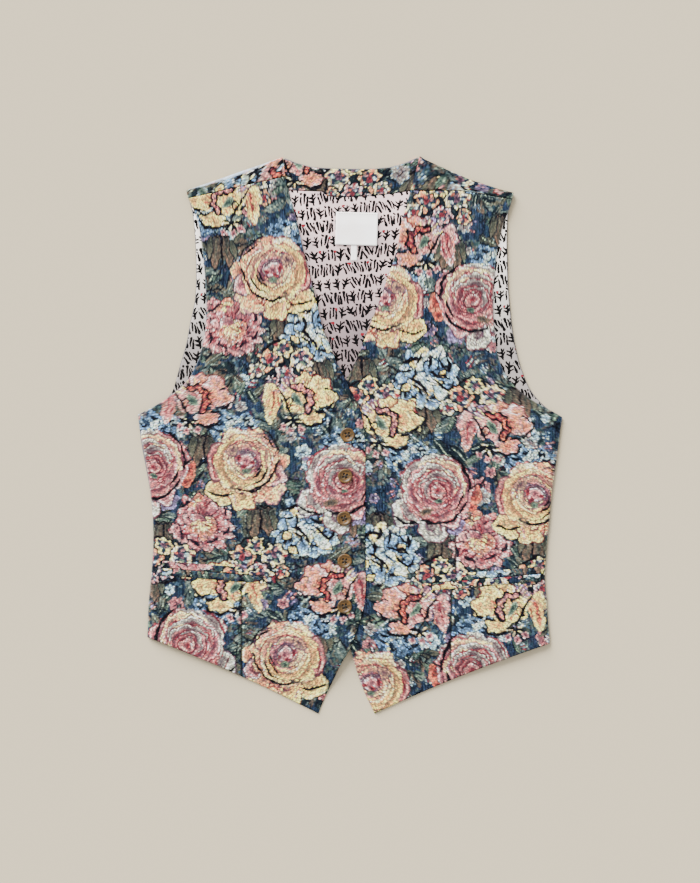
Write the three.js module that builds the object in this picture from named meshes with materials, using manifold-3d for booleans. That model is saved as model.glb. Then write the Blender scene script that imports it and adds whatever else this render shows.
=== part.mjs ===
// A waistcoat of flowered jacquard, buttoned and laid flat on its back.
// Millimetres, +Z up. +Y runs from the hem points to the neck, +X to the
// wearer's left. The origin is on the surface under the middle of the garment.
// Every cloth piece is a thin closed wall worked out from a short table of
// sections, one row a section, each with the two ends of the section.

import * as THREE from "three";
import { mergeVertices } from "three/addons/utils/BufferGeometryUtils.js";
import Module from "manifold-3d";

// Driving sizes.
const BACK_WALL = 1.5;          // jacquard of the back
const FRONT_WALL = 1.8;         // jacquard, canvas and facing of a front
const FRONT_RIM = 1.0;          // the same wall where its edge is turned
const RIM_WIDTH = 2.5;
const SIDE_WIDTH = 7.5;         // from the side seam to the edge of the lining
const LINING_WALL = 1.0;
const SEAM_GAP = 0.3;
const FOLD_RADIUS = 2.6;        // outside radius of the shoulder fold
const LINING_UNDER = BACK_WALL + SEAM_GAP;
const LINING_TOP = LINING_UNDER + LINING_WALL;

const SIDE_UNDER = 1.8;         // underside of a front at its side seam
const SIDE_RISE = 3.3;          // where it has climbed over the lining
const FRONT_UNDER = 4.3;        // underside over the body of a front
const ARMHOLE_UNDER = 3.2;      // underside at the armhole edge
const SHOULDER_UNDER = 3.4;     // underside at the shoulder seam
const WAVE_HEIGHT = 0.35;       // soft unevenness of the cloth
const OVERLAP_LIFT = 2.1;       // the buttonhole side rides over the other

const JET_WALL = 0.9;           // the two lips of a pocket
const JET_WIDTH = 7.3;
const JET_COLUMNS = 14;

const BUTTON_RADIUS = 7.5;
const BUTTON_SEGMENTS = 28;
const BUTTON_HOLE_RADIUS = 0.85;
const BUTTON_HOLE_SPREAD = 1.55;

const LABEL_TURN = -1.7;        // degrees
const LABEL_SIZE = [43.5, 34.0];
const LABEL_CENTRE = [6.8, 214.0];
const LABEL_WALL = 0.6;
const LABEL_TOP_UNDER = 3.1;
const LABEL_LOW_UNDER = 4.0;
const TAB_SIZE = [6.2, 22.0, 0.5];
const TAB_CENTRE = [4.2, 192.0];

// Right front, the buttonhole side, which lies on top.
// outer x, outer y, inner x, inner y, corner. The outer edge is the side seam
// up to the corner and the armhole above it. The inner edge is the cutaway,
// the front edge and the V of the neck.
const RIGHT_FRONT = [
  [-210.5, -210.0, -33.0, -289.5],
  [-210.0, -194.5, -26.0, -272.5],
  [-209.5, -179.0, -17.5, -255.0],
  [-208.0, -161.0, -9.5, -238.0],
  [-206.0, -140.5, 0.0, -221.5],
  [-204.5, -119.5, 7.5, -201.0],
  [-204.5, -100.0, 13.5, -182.0],
  [-205.0, -83.0, 16.5, -158.0],
  [-206.5, -67.5, 16.0, -132.0],
  [-208.5, -51.0, 16.0, -104.0],
  [-211.0, -34.5, 16.0, -76.0],
  [-214.0, -17.5, 16.0, -48.0],
  [-217.5, 1.0, 16.0, -21.0],
  [-220.5, 21.0, 15.5, 2.0, "corner"],
  [-205.5, 28.5, 13.0, 17.5],
  [-191.5, 37.0, 9.5, 30.0],
  [-183.5, 43.0, 4.5, 38.5],
  [-174.5, 50.5, 0.0, 48.0],
  [-166.5, 59.5, -5.5, 59.5],
  [-157.0, 79.0, -15.5, 79.0],
  [-153.0, 95.0, -21.5, 94.5],
  [-150.0, 110.0, -28.0, 110.0],
  [-149.0, 132.0, -33.5, 132.0],
  [-150.0, 154.0, -38.5, 154.0],
  [-151.5, 176.0, -44.5, 176.0],
  [-155.0, 205.0, -51.5, 205.0],
  [-158.0, 221.5, -55.0, 222.5],
  [-163.5, 236.0, -61.5, 245.5],
  [-168.0, 245.5, -67.0, 268.5],
];

// Left front, the button side, which lies underneath. Same columns.
const LEFT_FRONT = [
  [207.5, -216.5, 25.5, -289.5],
  [207.0, -208.0, 22.0, -282.0],
  [206.0, -197.5, 15.0, -267.0],
  [205.0, -184.0, 7.5, -246.5],
  [204.0, -168.5, 0.5, -222.5],
  [202.5, -154.0, -5.0, -211.0],
  [202.5, -140.5, -12.5, -194.5],
  [203.5, -128.0, -17.0, -177.0],
  [205.0, -109.0, -20.0, -159.0],
  [207.0, -90.5, -20.0, -133.0],
  [208.5, -73.0, -20.0, -107.0],
  [210.5, -55.0, -20.0, -81.0],
  [213.0, -36.5, -20.0, -55.0],
  [216.0, -15.5, -20.0, -29.0],
  [218.0, 1.0, -20.0, -12.5],
  [220.5, 18.5, -20.0, 2.0, "corner"],
  [211.0, 24.0, -19.0, 15.5],
  [198.0, 31.0, -15.5, 32.0],
  [187.0, 37.5, -12.0, 40.5],
  [176.0, 46.0, -8.5, 48.0],
  [164.5, 58.0, -2.5, 59.5],
  [156.5, 73.0, 4.0, 73.0],
  [152.5, 86.5, 10.5, 86.5],
  [150.5, 103.0, 16.5, 103.0],
  [149.0, 119.5, 23.0, 119.5],
  [148.5, 140.5, 31.0, 140.5],
  [149.0, 156.0, 36.5, 156.0],
  [150.5, 171.5, 42.0, 171.5],
  [152.0, 187.0, 47.0, 187.0],
  [155.0, 202.0, 50.5, 202.0],
  [158.5, 217.5, 53.0, 217.5],
  [164.5, 232.0, 58.0, 236.0],
  [168.5, 245.0, 63.0, 254.0],
];

// Back: left end x, y, right end x, y, corner.
const BACK = [
  [-210.5, -209.0, 207.5, -214.5],
  [-210.0, -194.5, 206.5, -203.0],
  [-208.0, -161.0, 204.0, -166.5],
  [-206.0, -140.5, 202.5, -145.5],
  [-204.5, -114.5, 204.0, -119.5],
  [-205.0, -83.0, 207.5, -86.5],
  [-208.0, -57.0, 210.0, -57.0],
  [-212.0, -34.5, 213.0, -34.5],
  [-216.5, -10.5, 216.5, -5.0],
  [-220.5, 21.0, 220.5, 18.5, "corner"],
  [-211.0, 25.5, 208.0, 25.5],
  [-199.5, 31.5, 197.5, 34.5],
  [-191.5, 36.5, 187.5, 47.0],
  [-184.0, 47.0, 179.0, 66.5],
  [-178.0, 67.5, 173.5, 85.5],
  [-170.5, 93.5, 170.0, 103.0],
  [-166.5, 114.5, 168.0, 117.5],
  [-162.0, 135.0, 166.0, 137.5],
  [-160.0, 156.0, 164.5, 158.0],
  [-160.0, 177.0, 164.0, 179.0],
  [-161.0, 203.0, 163.5, 203.0],
  [-163.5, 229.0, 164.5, 230.0],
  [-166.5, 241.5, 167.5, 241.5],
  [-170.0, 254.0, 170.0, 251.5],
];

// Lining of the back: the same edges, drawn in from them.
const LINING = [
  [-202.0, -197.0, 198.5, -201.0],
  [-200.0, -161.0, 196.0, -166.0],
  [-198.0, -140.0, 194.5, -145.0],
  [-196.5, -114.0, 196.0, -119.0],
  [-197.0, -83.0, 199.5, -86.0],
  [-200.0, -57.0, 202.0, -57.0],
  [-204.0, -34.0, 205.0, -34.0],
  [-208.5, -10.0, 208.5, -5.0],
  [-211.5, 16.0, 212.0, 14.0, "corner"],
  [-204.0, 27.5, 201.5, 29.0],
  [-192.0, 35.0, 188.5, 43.8],
  [-184.8, 44.0, 180.0, 62.0],
  [-177.3, 67.5, 172.7, 85.5],
  [-169.7, 93.5, 169.2, 103.0],
  [-165.7, 114.5, 167.2, 117.5],
  [-161.2, 135.0, 165.2, 137.5],
  [-159.2, 156.0, 163.7, 158.0],
  [-159.2, 177.0, 163.2, 179.0],
  [-160.2, 203.0, 162.7, 203.0],
  [-162.7, 229.0, 163.7, 230.0],
  [-166.5, 246.0, 166.8, 243.0],
];

// Lines along the top of the garment, as x, y points.
const LEFT_FOLD = [[-170.0, 254.0], [-70.0, 288.5]];
const LEFT_SEAM = [[-168.0, 245.5], [-67.0, 268.5]];
const NECK = [
  [-70.0, 288.5], [-56.5, 283.0], [-40.5, 278.5], [-27.0, 277.5], [0.0, 276.5],
  [23.0, 276.5], [43.5, 278.5], [58.0, 283.0], [72.5, 289.5],
];
const RIGHT_FOLD = [
  [72.5, 289.5], [78.0, 286.0], [101.0, 275.5], [125.0, 265.0], [156.0, 255.0],
  [170.0, 251.5],
];
const RIGHT_SEAM = [[63.0, 254.0], [168.5, 245.0]];
const RIGHT_SEAM_BOW = 3.5;     // height of its rise at the middle
const FACING_LOWER = [
  [-78.0, 254.5], [-62.0, 254.0], [-28.0, 253.0], [-25.0, 248.5], [-9.0, 247.0],
  [17.5, 248.0], [33.5, 249.5], [49.5, 251.5], [64.5, 254.0], [80.0, 254.5],
];
const FACING_UPPER = [
  [-78.0, 281.0], [-70.5, 285.0], [-68.5, 286.4], [-56.5, 282.2], [-40.5, 277.8],
  [-27.0, 276.8], [0.0, 275.9], [23.0, 275.9], [43.5, 277.8], [58.0, 282.2],
  [69.8, 287.3], [72.0, 285.4], [80.0, 280.0],
];

// Mouth of each pocket: outer end, inner end.
const RIGHT_POCKET = [[-194.5, -138.0], [-77.0, -147.5]];
const LEFT_POCKET = [[198.0, -144.0], [85.5, -153.5]];

// Centres of the buttons, from the top.
const BUTTONS = [
  [-2.5, 0.0], [-5.0, -42.5], [-6.0, -86.5], [-5.5, -130.5], [-5.5, -177.5],
];

// Half profile of a button: radius, height.
const BUTTON_PROFILE = [
  [0.0, 0.0], [6.3, 0.0], [7.5, 0.8], [7.5, 1.8], [6.7, 2.5], [5.6, 2.2],
  [4.7, 1.6], [0.0, 1.4],
];

// Small helpers.
const mix = (a, b, t) => a + (b - a) * t;

function smooth(value) {
  const t = Math.min(Math.max(value, 0), 1);
  return t * t * (3 - 2 * t);
}

// Y of a line of points at an x, or X at a y when the columns are swapped.
function along(line, at, key = 0, out = 1) {
  let points = line;
  if (line[0][key] > line[line.length - 1][key]) {
    points = [...line].reverse();
  }
  if (at <= points[0][key]) {
    return points[0][out];
  }
  for (let k = 1; k < points.length; k += 1) {
    if (at <= points[k][key]) {
      const span = points[k][key] - points[k - 1][key];
      return mix(points[k - 1][out], points[k][out], (at - points[k - 1][key]) / span);
    }
  }
  return points[points.length - 1][out];
}

// The point a share t of the way along a line of points, by x.
function pointAlong(line, t) {
  const x = mix(line[0][0], line[line.length - 1][0], t);
  return [x, along(line, x) + (line === RIGHT_SEAM ? seamBow(t) : 0)];
}

function seamBow(t) {
  return RIGHT_SEAM_BOW * Math.sin(Math.PI * t) ** 2;
}

// Rows between the rows of a section table, through a smooth curve that
// keeps its corners.
function sections(table, steps) {
  const rows = [];
  const stops = [0];
  table.forEach((row, k) => {
    if (row[4] === "corner") {
      stops.push(k);
    }
  });
  stops.push(table.length - 1);
  for (let s = 1; s < stops.length; s += 1) {
    const first = stops[s - 1];
    const last = stops[s];
    for (let k = first; k < last; k += 1) {
      const before = table[Math.max(k - 1, first)];
      const after = table[Math.min(k + 2, last)];
      for (let n = 0; n < steps; n += 1) {
        const t = n / steps;
        rows.push([0, 1, 2, 3].map((c) => curve(before[c], table[k][c], table[k + 1][c], after[c], t)));
      }
    }
  }
  rows.push(table[table.length - 1].slice(0, 4));
  return rows;
}

function curve(a, b, c, d, t) {
  return 0.5 * (2 * b + (c - a) * t + (2 * a - 5 * b + 4 * c - d) * t * t
    + (3 * b - a - 3 * c + d) * t * t * t);
}

// A closed wall between two grids of points, over the cells that are kept.
function wall(outside, inside, keep = () => true) {
  const rows = outside.length;
  const columns = outside[0].length;
  const shift = rows * columns;
  const points = [...outside.flat(), ...inside.flat()];
  const id = (j, i) => j * columns + i;
  const kept = (j, i) => j >= 0 && i >= 0 && j < rows - 1 && i < columns - 1 && keep(j, i);
  const faces = [];
  const side = (a, b) => faces.push([b, a, a + shift], [b, a + shift, b + shift]);
  for (let j = 0; j < rows - 1; j += 1) {
    for (let i = 0; i < columns - 1; i += 1) {
      if (!kept(j, i)) {
        continue;
      }
      const a = id(j, i);
      const b = id(j, i + 1);
      const c = id(j + 1, i + 1);
      const d = id(j + 1, i);
      faces.push([a, b, c], [a, c, d]);
      faces.push([a + shift, c + shift, b + shift], [a + shift, d + shift, c + shift]);
      if (!kept(j - 1, i)) {
        side(a, b);
      }
      if (!kept(j, i + 1)) {
        side(b, c);
      }
      if (!kept(j + 1, i)) {
        side(c, d);
      }
      if (!kept(j, i - 1)) {
        side(d, a);
      }
    }
  }
  return closedGeometry(points, faces);
}

// Only the points that a face uses, with the faces turned to point out.
function closedGeometry(points, faces) {
  const used = new Map();
  const flat = [];
  const index = [];
  let volume = 0;
  for (const face of faces) {
    const [p, q, r] = face.map((k) => points[k]);
    volume += p[0] * (q[1] * r[2] - q[2] * r[1])
      + p[1] * (q[2] * r[0] - q[0] * r[2])
      + p[2] * (q[0] * r[1] - q[1] * r[0]);
    for (const k of face) {
      if (!used.has(k)) {
        used.set(k, flat.length / 3);
        flat.push(...points[k]);
      }
      index.push(used.get(k));
    }
  }
  if (volume < 0) {
    for (let k = 0; k < index.length; k += 3) {
      [index[k + 1], index[k + 2]] = [index[k + 2], index[k + 1]];
    }
  }
  const geometry = new THREE.BufferGeometry();
  geometry.setAttribute("position", new THREE.Float32BufferAttribute(flat, 3));
  geometry.setIndex(index);
  geometry.computeVertexNormals();
  return geometry;
}

// Shares across a section from its outer edge, closer together at its ends.
function shares(count, width) {
  const stops = [0, RIM_WIDTH / width, SIDE_WIDTH / width];
  for (let i = 1; i <= count; i += 1) {
    stops.push(mix(SIDE_WIDTH / width, 1 - RIM_WIDTH / width, i / count));
  }
  return [...stops, 1];
}

// Height of the underside of a front. Both fronts are worked out as if they
// lay on the wearer's right, so x is turned over for the left one.
function frontUnder(x, y, hand, table) {
  const outer = table.map((row) => [row[0] * hand, row[1]]);
  const corner = table.findIndex((row) => row[4] === "corner");
  const fromSide = x * hand - along(outer.slice(0, corner + 1), y, 1, 0);
  const fromEdge = x * hand - along(outer, y, 1, 0);
  const side = SIDE_UNDER + (SIDE_RISE - SIDE_UNDER) * smooth(fromSide / SIDE_WIDTH)
    + (FRONT_UNDER - SIDE_RISE) * smooth((fromSide - SIDE_WIDTH) / 40);
  const armhole = ARMHOLE_UNDER + (FRONT_UNDER - ARMHOLE_UNDER) * smooth(fromEdge / 30);
  let under = Math.min(side, armhole);
  under = mix(under, SHOULDER_UNDER, smooth((y - 205) / 40));
  if (hand > 0) {
    under += OVERLAP_LIFT * smooth((x + 62) / 34) * (1 - smooth((y - 150) / 60));
  }
  const quiet = smooth((fromEdge - 30) / 30) * smooth((-hand * x - 45) / 25);
  const wave = Math.sin(0.045 * x * hand + 0.022 * y);
  under += WAVE_HEIGHT * quiet * wave * (1 - smooth((y - 150) / 60));
  return under * (1 - hemDrop(x, y));
}

// Below the hem of the back the points of the fronts come down to the table.
function hemDrop(x, y) {
  const start = 214 + 12 * Math.exp(-((x / 60) ** 2));
  return smooth((-y - start) / 50);
}

// One front: its sections, then its upper and lower skins.
function front(table, hand, columns) {
  const rows = sections(table, 2);
  const count = rows.length - 1;
  const under = [];
  const over = [];
  rows.forEach((row, j) => {
    const width = Math.hypot(row[2] - row[0], row[3] - row[1]);
    const hemShare = (1 - j / count) ** 8;
    const seamShare = (j / count) ** 12;
    const low = [];
    const high = [];
    for (const u of shares(columns, width)) {
      const x = mix(row[0], row[2], u);
      let y = mix(row[1], row[3], u);
      y += 3.0 * 4 * u * (1 - u) * hemShare;
      y += hand < 0 ? seamBow(u) * seamShare : 0;
      const rim = Math.min(u, 1 - u) * width;
      const thick = mix(FRONT_RIM, FRONT_WALL, smooth(j === 0 ? 0 : rim / RIM_WIDTH));
      const z = frontUnder(x, y, hand, table);
      low.push([x, y, z]);
      high.push([x, y, z + thick]);
    }
    under.push(low);
    over.push(high);
  });
  return wall(over, under);
}

// The back with its two shoulders, which fold over to the seams in front.
function back() {
  const rows = sections(BACK, 1);
  const shoulderColumns = 9;
  const neckColumns = 12;
  const outside = [];
  const inside = [];
  const top = [];
  for (let i = 0; i <= shoulderColumns; i += 1) {
    top.push({ fold: pointAlong(LEFT_FOLD, i / shoulderColumns), seam: pointAlong(LEFT_SEAM, i / shoulderColumns) });
  }
  for (let i = 1; i < neckColumns; i += 1) {
    top.push({ fold: pointAlong(NECK, i / neckColumns) });
  }
  for (let i = 0; i <= shoulderColumns; i += 1) {
    top.push({ fold: pointAlong(RIGHT_FOLD, i / shoulderColumns), seam: pointAlong(RIGHT_SEAM, i / shoulderColumns) });
  }
  const [x0, y0] = LEFT_FOLD[0];
  const [x1, y1] = RIGHT_FOLD[RIGHT_FOLD.length - 1];
  top.forEach((column) => {
    column.share = (column.fold[0] - x0) / (x1 - x0);
    column.rise = column.fold[1] - mix(y0, y1, column.share);
  });
  rows.slice(0, -1).forEach((row, j) => {
    const pull = smooth((mix(row[1], row[3], 0.5) - 20) / 234);
    const hemLift = 6 * (1 - j / (rows.length - 1)) ** 6;
    const line = top.map((column) => {
      const u = column.share;
      const y = mix(row[1], row[3], u) + column.rise * pull + hemLift * 4 * u * (1 - u);
      return [mix(row[0], row[2], u), y];
    });
    outside.push(line.map(([x, y]) => [x, y, 0]));
    inside.push(line.map(([x, y]) => [x, y, BACK_WALL]));
  });
  // The last flat row, then the rows round the fold and down to the seam.
  const bend = FOLD_RADIUS - BACK_WALL;
  const turns = [0, 30, 60, 90, 120, 150, 180];
  const centre = top.map((column) => {
    if (!column.seam) {
      return { at: column.fold, toward: [0, 0], reach: 0 };
    }
    const dx = column.seam[0] - column.fold[0];
    const dy = column.seam[1] - column.fold[1];
    const reach = Math.hypot(dx, dy);
    const toward = [dx / reach, dy / reach];
    const at = [column.fold[0] + toward[0] * FOLD_RADIUS, column.fold[1] + toward[1] * FOLD_RADIUS];
    return { at, toward, reach };
  });
  for (const turn of turns) {
    const a = THREE.MathUtils.degToRad(turn - 90);
    const ring = (radius) => centre.map(({ at, toward }) => [
      at[0] - toward[0] * radius * Math.cos(a),
      at[1] - toward[1] * radius * Math.cos(a),
      FOLD_RADIUS + radius * Math.sin(a),
    ]);
    outside.push(ring(FOLD_RADIUS));
    inside.push(ring(bend));
  }
  for (const share of [0.5, 1]) {
    const strip = (z) => centre.map(({ at, toward, reach }) => {
      const length = (reach - FOLD_RADIUS - SEAM_GAP) * share;
      return [at[0] + toward[0] * length, at[1] + toward[1] * length, z];
    });
    outside.push(strip(2 * FOLD_RADIUS));
    inside.push(strip(2 * FOLD_RADIUS - BACK_WALL));
  }
  const flatCells = rows.length - 1;
  const leftEnd = shoulderColumns;
  const rightStart = shoulderColumns + neckColumns;
  return wall(outside, inside, (j, i) => j < flatCells || i < leftEnd || i >= rightStart);
}

// The lining of the back, flat inside it, up to the facing.
function lining() {
  const rows = sections(LINING, 1);
  const last = rows.length - 1;
  const [x0, , x1] = rows[last];
  const stops = [x0, -140, -110, ...FACING_LOWER.map((p) => p[0]), 110, 140, x1];
  const grid = rows.map((row, j) => stops.map((stop) => {
    const u = (stop - x0) / (x1 - x0);
    const x = mix(row[0], row[2], u);
    let y = mix(row[1], row[3], u);
    if (j === last) {
      y = Math.abs(x) <= 80.1 ? along(FACING_LOWER, x) - 1.5 * SEAM_GAP : y;
    }
    return [x, y];
  }));
  const at = (z) => grid.map((line) => line.map(([x, y]) => [x, y, z]));
  return wall(at(LINING_TOP), at(LINING_UNDER));
}

// The band of jacquard that faces the back of the neck.
function facing() {
  const xs = new Set([...FACING_LOWER.map((p) => p[0]), ...FACING_UPPER.map((p) => p[0])]);
  const columns = [...xs].sort((a, b) => a - b);
  const low = columns.map((x) => [x, along(FACING_LOWER, x)]);
  const high = columns.map((x) => [x, along(FACING_UPPER, x)]);
  const at = (z) => [low, high].map((line) => line.map(([x, y]) => [x, y, z]));
  return wall(at(LINING_TOP), at(LINING_UNDER));
}

// One lip of a pocket, made from the points of the front moved out.
function jet(pocket, direction, hand, table) {
  const low = [];
  const high = [];
  for (const across of [0, 0.5, 1]) {
    const lower = [];
    const upper = [];
    for (let i = 0; i <= JET_COLUMNS; i += 1) {
      const x = mix(pocket[0][0], pocket[1][0], i / JET_COLUMNS);
      const mouth = mix(pocket[0][1], pocket[1][1], i / JET_COLUMNS);
      const y = mouth + direction * (SEAM_GAP / 2 + across * JET_WIDTH);
      const z = frontUnder(x, y, hand, table) + FRONT_WALL + SEAM_GAP;
      lower.push([x, y, z + 0.05]);
      upper.push([x, y, z + 0.05 + JET_WALL]);
    }
    low.push(lower);
    high.push(upper);
  }
  return wall(high, low);
}

// The plain woven label, sewn at its top edge, lying over its loop.
function label() {
  const turn = THREE.MathUtils.degToRad(LABEL_TURN);
  const low = [];
  const high = [];
  for (const down of [0, 0.2, 0.4, 0.7, 1]) {
    const lower = [];
    const upper = [];
    for (const across of [-0.5, -0.25, 0, 0.25, 0.5]) {
      const dx = across * LABEL_SIZE[0];
      const dy = (0.5 - down) * LABEL_SIZE[1];
      const x = LABEL_CENTRE[0] + dx * Math.cos(turn) - dy * Math.sin(turn);
      const y = LABEL_CENTRE[1] + dx * Math.sin(turn) + dy * Math.cos(turn);
      const z = mix(LABEL_TOP_UNDER, LABEL_LOW_UNDER, smooth(down / 0.4));
      lower.push([x, y, z]);
      upper.push([x, y, z + LABEL_WALL]);
    }
    low.push(lower);
    high.push(upper);
  }
  return wall(high, low);
}

// A four-hole button: a turned disc with its holes cut through.
async function button() {
  const wasm = await Module();
  wasm.setup();
  const solid = (geometry) => {
    const bare = geometry.clone();
    bare.deleteAttribute("normal");
    bare.deleteAttribute("uv");
    const merged = mergeVertices(bare, 1e-4);
    return new wasm.Manifold(new wasm.Mesh({
      numProp: 3,
      vertProperties: new Float32Array(merged.attributes.position.array),
      triVerts: new Uint32Array(merged.index.array),
    }));
  };
  const profile = BUTTON_PROFILE.map(([r, z]) => new THREE.Vector2(r, z));
  const disc = new THREE.LatheGeometry(profile, BUTTON_SEGMENTS);
  disc.rotateX(Math.PI / 2);
  let shape = solid(disc);
  for (const [sx, sy] of [[1, 1], [-1, 1], [-1, -1], [1, -1]]) {
    const hole = new THREE.CylinderGeometry(BUTTON_HOLE_RADIUS, BUTTON_HOLE_RADIUS, 6, 10);
    hole.rotateX(Math.PI / 2);
    hole.translate(sx * BUTTON_HOLE_SPREAD, sy * BUTTON_HOLE_SPREAD, 1);
    shape = shape.subtract(solid(hole));
  }
  const mesh = shape.getMesh();
  const geometry = new THREE.BufferGeometry();
  geometry.setAttribute("position", new THREE.Float32BufferAttribute(mesh.vertProperties, 3));
  geometry.setIndex(Array.from(mesh.triVerts));
  geometry.computeVertexNormals();
  return geometry;
}

// Finishes.
const finish = (color, roughness) => new THREE.MeshStandardMaterial({ color, roughness, metalness: 0 });
const jacquard = finish(0x6f7486, 0.85);
const liningCloth = finish(0xefe8e6, 0.7);
const tape = finish(0xf7f5f1, 0.75);
const horn = finish(0x8c5a32, 0.4);

const vest = new THREE.Group();

function piece(name, geometry, material, x = 0, y = 0, z = 0) {
  const mesh = new THREE.Mesh(geometry, material);
  mesh.name = name;
  mesh.position.set(x, y, z);
  vest.add(mesh);
}

piece("back", back(), jacquard);
piece("back_lining", lining(), liningCloth);
piece("back_neck_facing", facing(), jacquard);
piece("left_front", front(LEFT_FRONT, -1, 10), jacquard);
piece("right_front", front(RIGHT_FRONT, 1, 12), jacquard);
piece("right_pocket_upper_lip", jet(RIGHT_POCKET, 1, 1, RIGHT_FRONT), jacquard);
piece("right_pocket_lower_lip", jet(RIGHT_POCKET, -1, 1, RIGHT_FRONT), jacquard);
piece("left_pocket_upper_lip", jet(LEFT_POCKET, 1, -1, LEFT_FRONT), jacquard);
piece("left_pocket_lower_lip", jet(LEFT_POCKET, -1, -1, LEFT_FRONT), jacquard);
piece("neck_label", label(), tape);
piece("label_loop", new THREE.BoxGeometry(...TAB_SIZE), tape,
  TAB_CENTRE[0], TAB_CENTRE[1], LINING_TOP + SEAM_GAP + TAB_SIZE[2] / 2);

const disc = await button();
BUTTONS.forEach(([x, y], k) => {
  const z = frontUnder(x, y, 1, RIGHT_FRONT) + FRONT_WALL + SEAM_GAP;
  piece(`button_${k + 1}`, disc.clone(), horn, x, y, z);
});

export default vest;
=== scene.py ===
"""A waistcoat of flowered jacquard, buttoned and laid flat on its back.

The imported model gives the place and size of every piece. Each cloth piece is
worked out here from the same tables of sections, as a closed wall of fine
cells, and every point of the jacquard is given its yarn colour by strokes
laid on the flat cloth. Lengths are millimetres until a mesh is made.
"""
import logging
import math
from collections.abc import Callable
from dataclasses import dataclass
from enum import Enum
from functools import partial
from typing import ClassVar

import bpy
import numpy as np
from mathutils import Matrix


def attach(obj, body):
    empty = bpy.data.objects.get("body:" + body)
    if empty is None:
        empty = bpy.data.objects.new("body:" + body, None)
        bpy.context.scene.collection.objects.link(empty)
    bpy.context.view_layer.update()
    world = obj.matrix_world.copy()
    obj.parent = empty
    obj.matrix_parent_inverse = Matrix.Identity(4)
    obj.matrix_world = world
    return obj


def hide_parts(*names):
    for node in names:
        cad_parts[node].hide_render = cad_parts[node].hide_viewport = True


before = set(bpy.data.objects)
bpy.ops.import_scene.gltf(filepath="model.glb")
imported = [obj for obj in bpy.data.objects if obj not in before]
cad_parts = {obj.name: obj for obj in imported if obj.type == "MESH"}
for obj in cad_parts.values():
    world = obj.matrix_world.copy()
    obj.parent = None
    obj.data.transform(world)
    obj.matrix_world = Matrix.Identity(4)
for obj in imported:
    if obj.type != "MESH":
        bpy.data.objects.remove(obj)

Array = np.ndarray
Colour = tuple[int, int, int]
Colours = tuple[Colour, ...]
Line = tuple[tuple[float, float], ...]
Faces = list[tuple[int, ...]]
Material = bpy.types.Material
Object = bpy.types.Object
Socket = bpy.types.NodeSocket
Section = tuple[float, float, float, float]

LOG = logging.getLogger("waistcoat")
MM = 0.001
BODY = "root"
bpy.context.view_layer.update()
STUDIO_LIGHT = 3.6

BACK_WALL = 1.5
FRONT_WALL = 1.8
FRONT_RIM = 1.0
RIM_WIDTH = 2.5
SIDE_WIDTH = 7.5
LINING_WALL = 1.0
SEAM_GAP = 0.3
FOLD_RADIUS = 2.6
LINING_UNDER = BACK_WALL + SEAM_GAP
RIM_STOPS = (0.0, 0.25, 0.8)
RIM_SHARES = (0.35, 0.8, 1.0)
MARGIN = 0.004

RIGHT_FRONT: tuple[Section, ...] = (
    # outer x, outer y, inner x, inner y, in mm, from the hem to the shoulder
    (-210.5, -210, -33, -289.5), (-210, -194.5, -26, -272.5), (-209.5, -179, -17.5, -255),
    (-208, -161, -9.5, -238), (-206, -140.5, 0, -221.5), (-204.5, -119.5, 7.5, -201),
    (-204.5, -100, 13.5, -182), (-205, -83, 16.5, -158), (-206.5, -67.5, 16, -132), (-208.5, -51, 16, -104),
    (-211, -34.5, 16, -76), (-214, -17.5, 16, -48), (-217.5, 1, 16, -21), (-220.5, 21, 15.5, 2),
    (-205.5, 28.5, 13, 17.5), (-191.5, 37, 9.5, 30), (-183.5, 43, 4.5, 38.5), (-174.5, 50.5, 0, 48),
    (-166.5, 59.5, -5.5, 59.5), (-157, 79, -15.5, 79), (-153, 95, -21.5, 94.5), (-150, 110, -28, 110),
    (-149, 132, -33.5, 132), (-150, 154, -38.5, 154), (-151.5, 176, -44.5, 176), (-155, 205, -51.5, 205),
    (-158, 221.5, -55, 222.5), (-163.5, 236, -61.5, 245.5), (-168, 245.5, -67, 268.5),
)
LEFT_FRONT: tuple[Section, ...] = (
    # the same columns
    (207.5, -216.5, 25.5, -289.5), (207, -208, 22, -282), (206, -197.5, 15, -267), (205, -184, 7.5, -246.5),
    (204, -168.5, 0.5, -222.5), (202.5, -154, -5, -211), (202.5, -140.5, -12.5, -194.5),
    (203.5, -128, -17, -177), (205, -109, -20, -159), (207, -90.5, -20, -133), (208.5, -73, -20, -107),
    (210.5, -55, -20, -81), (213, -36.5, -20, -55), (216, -15.5, -20, -29), (218, 1, -20, -12.5),
    (220.5, 18.5, -20, 2), (211, 24, -19, 15.5), (198, 31, -15.5, 32), (187, 37.5, -12, 40.5),
    (176, 46, -8.5, 48), (164.5, 58, -2.5, 59.5), (156.5, 73, 4, 73), (152.5, 86.5, 10.5, 86.5),
    (150.5, 103, 16.5, 103), (149, 119.5, 23, 119.5), (148.5, 140.5, 31, 140.5), (149, 156, 36.5, 156),
    (150.5, 171.5, 42, 171.5), (152, 187, 47, 187), (155, 202, 50.5, 202), (158.5, 217.5, 53, 217.5),
    (164.5, 232, 58, 236), (168.5, 245, 63, 254),
)
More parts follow.
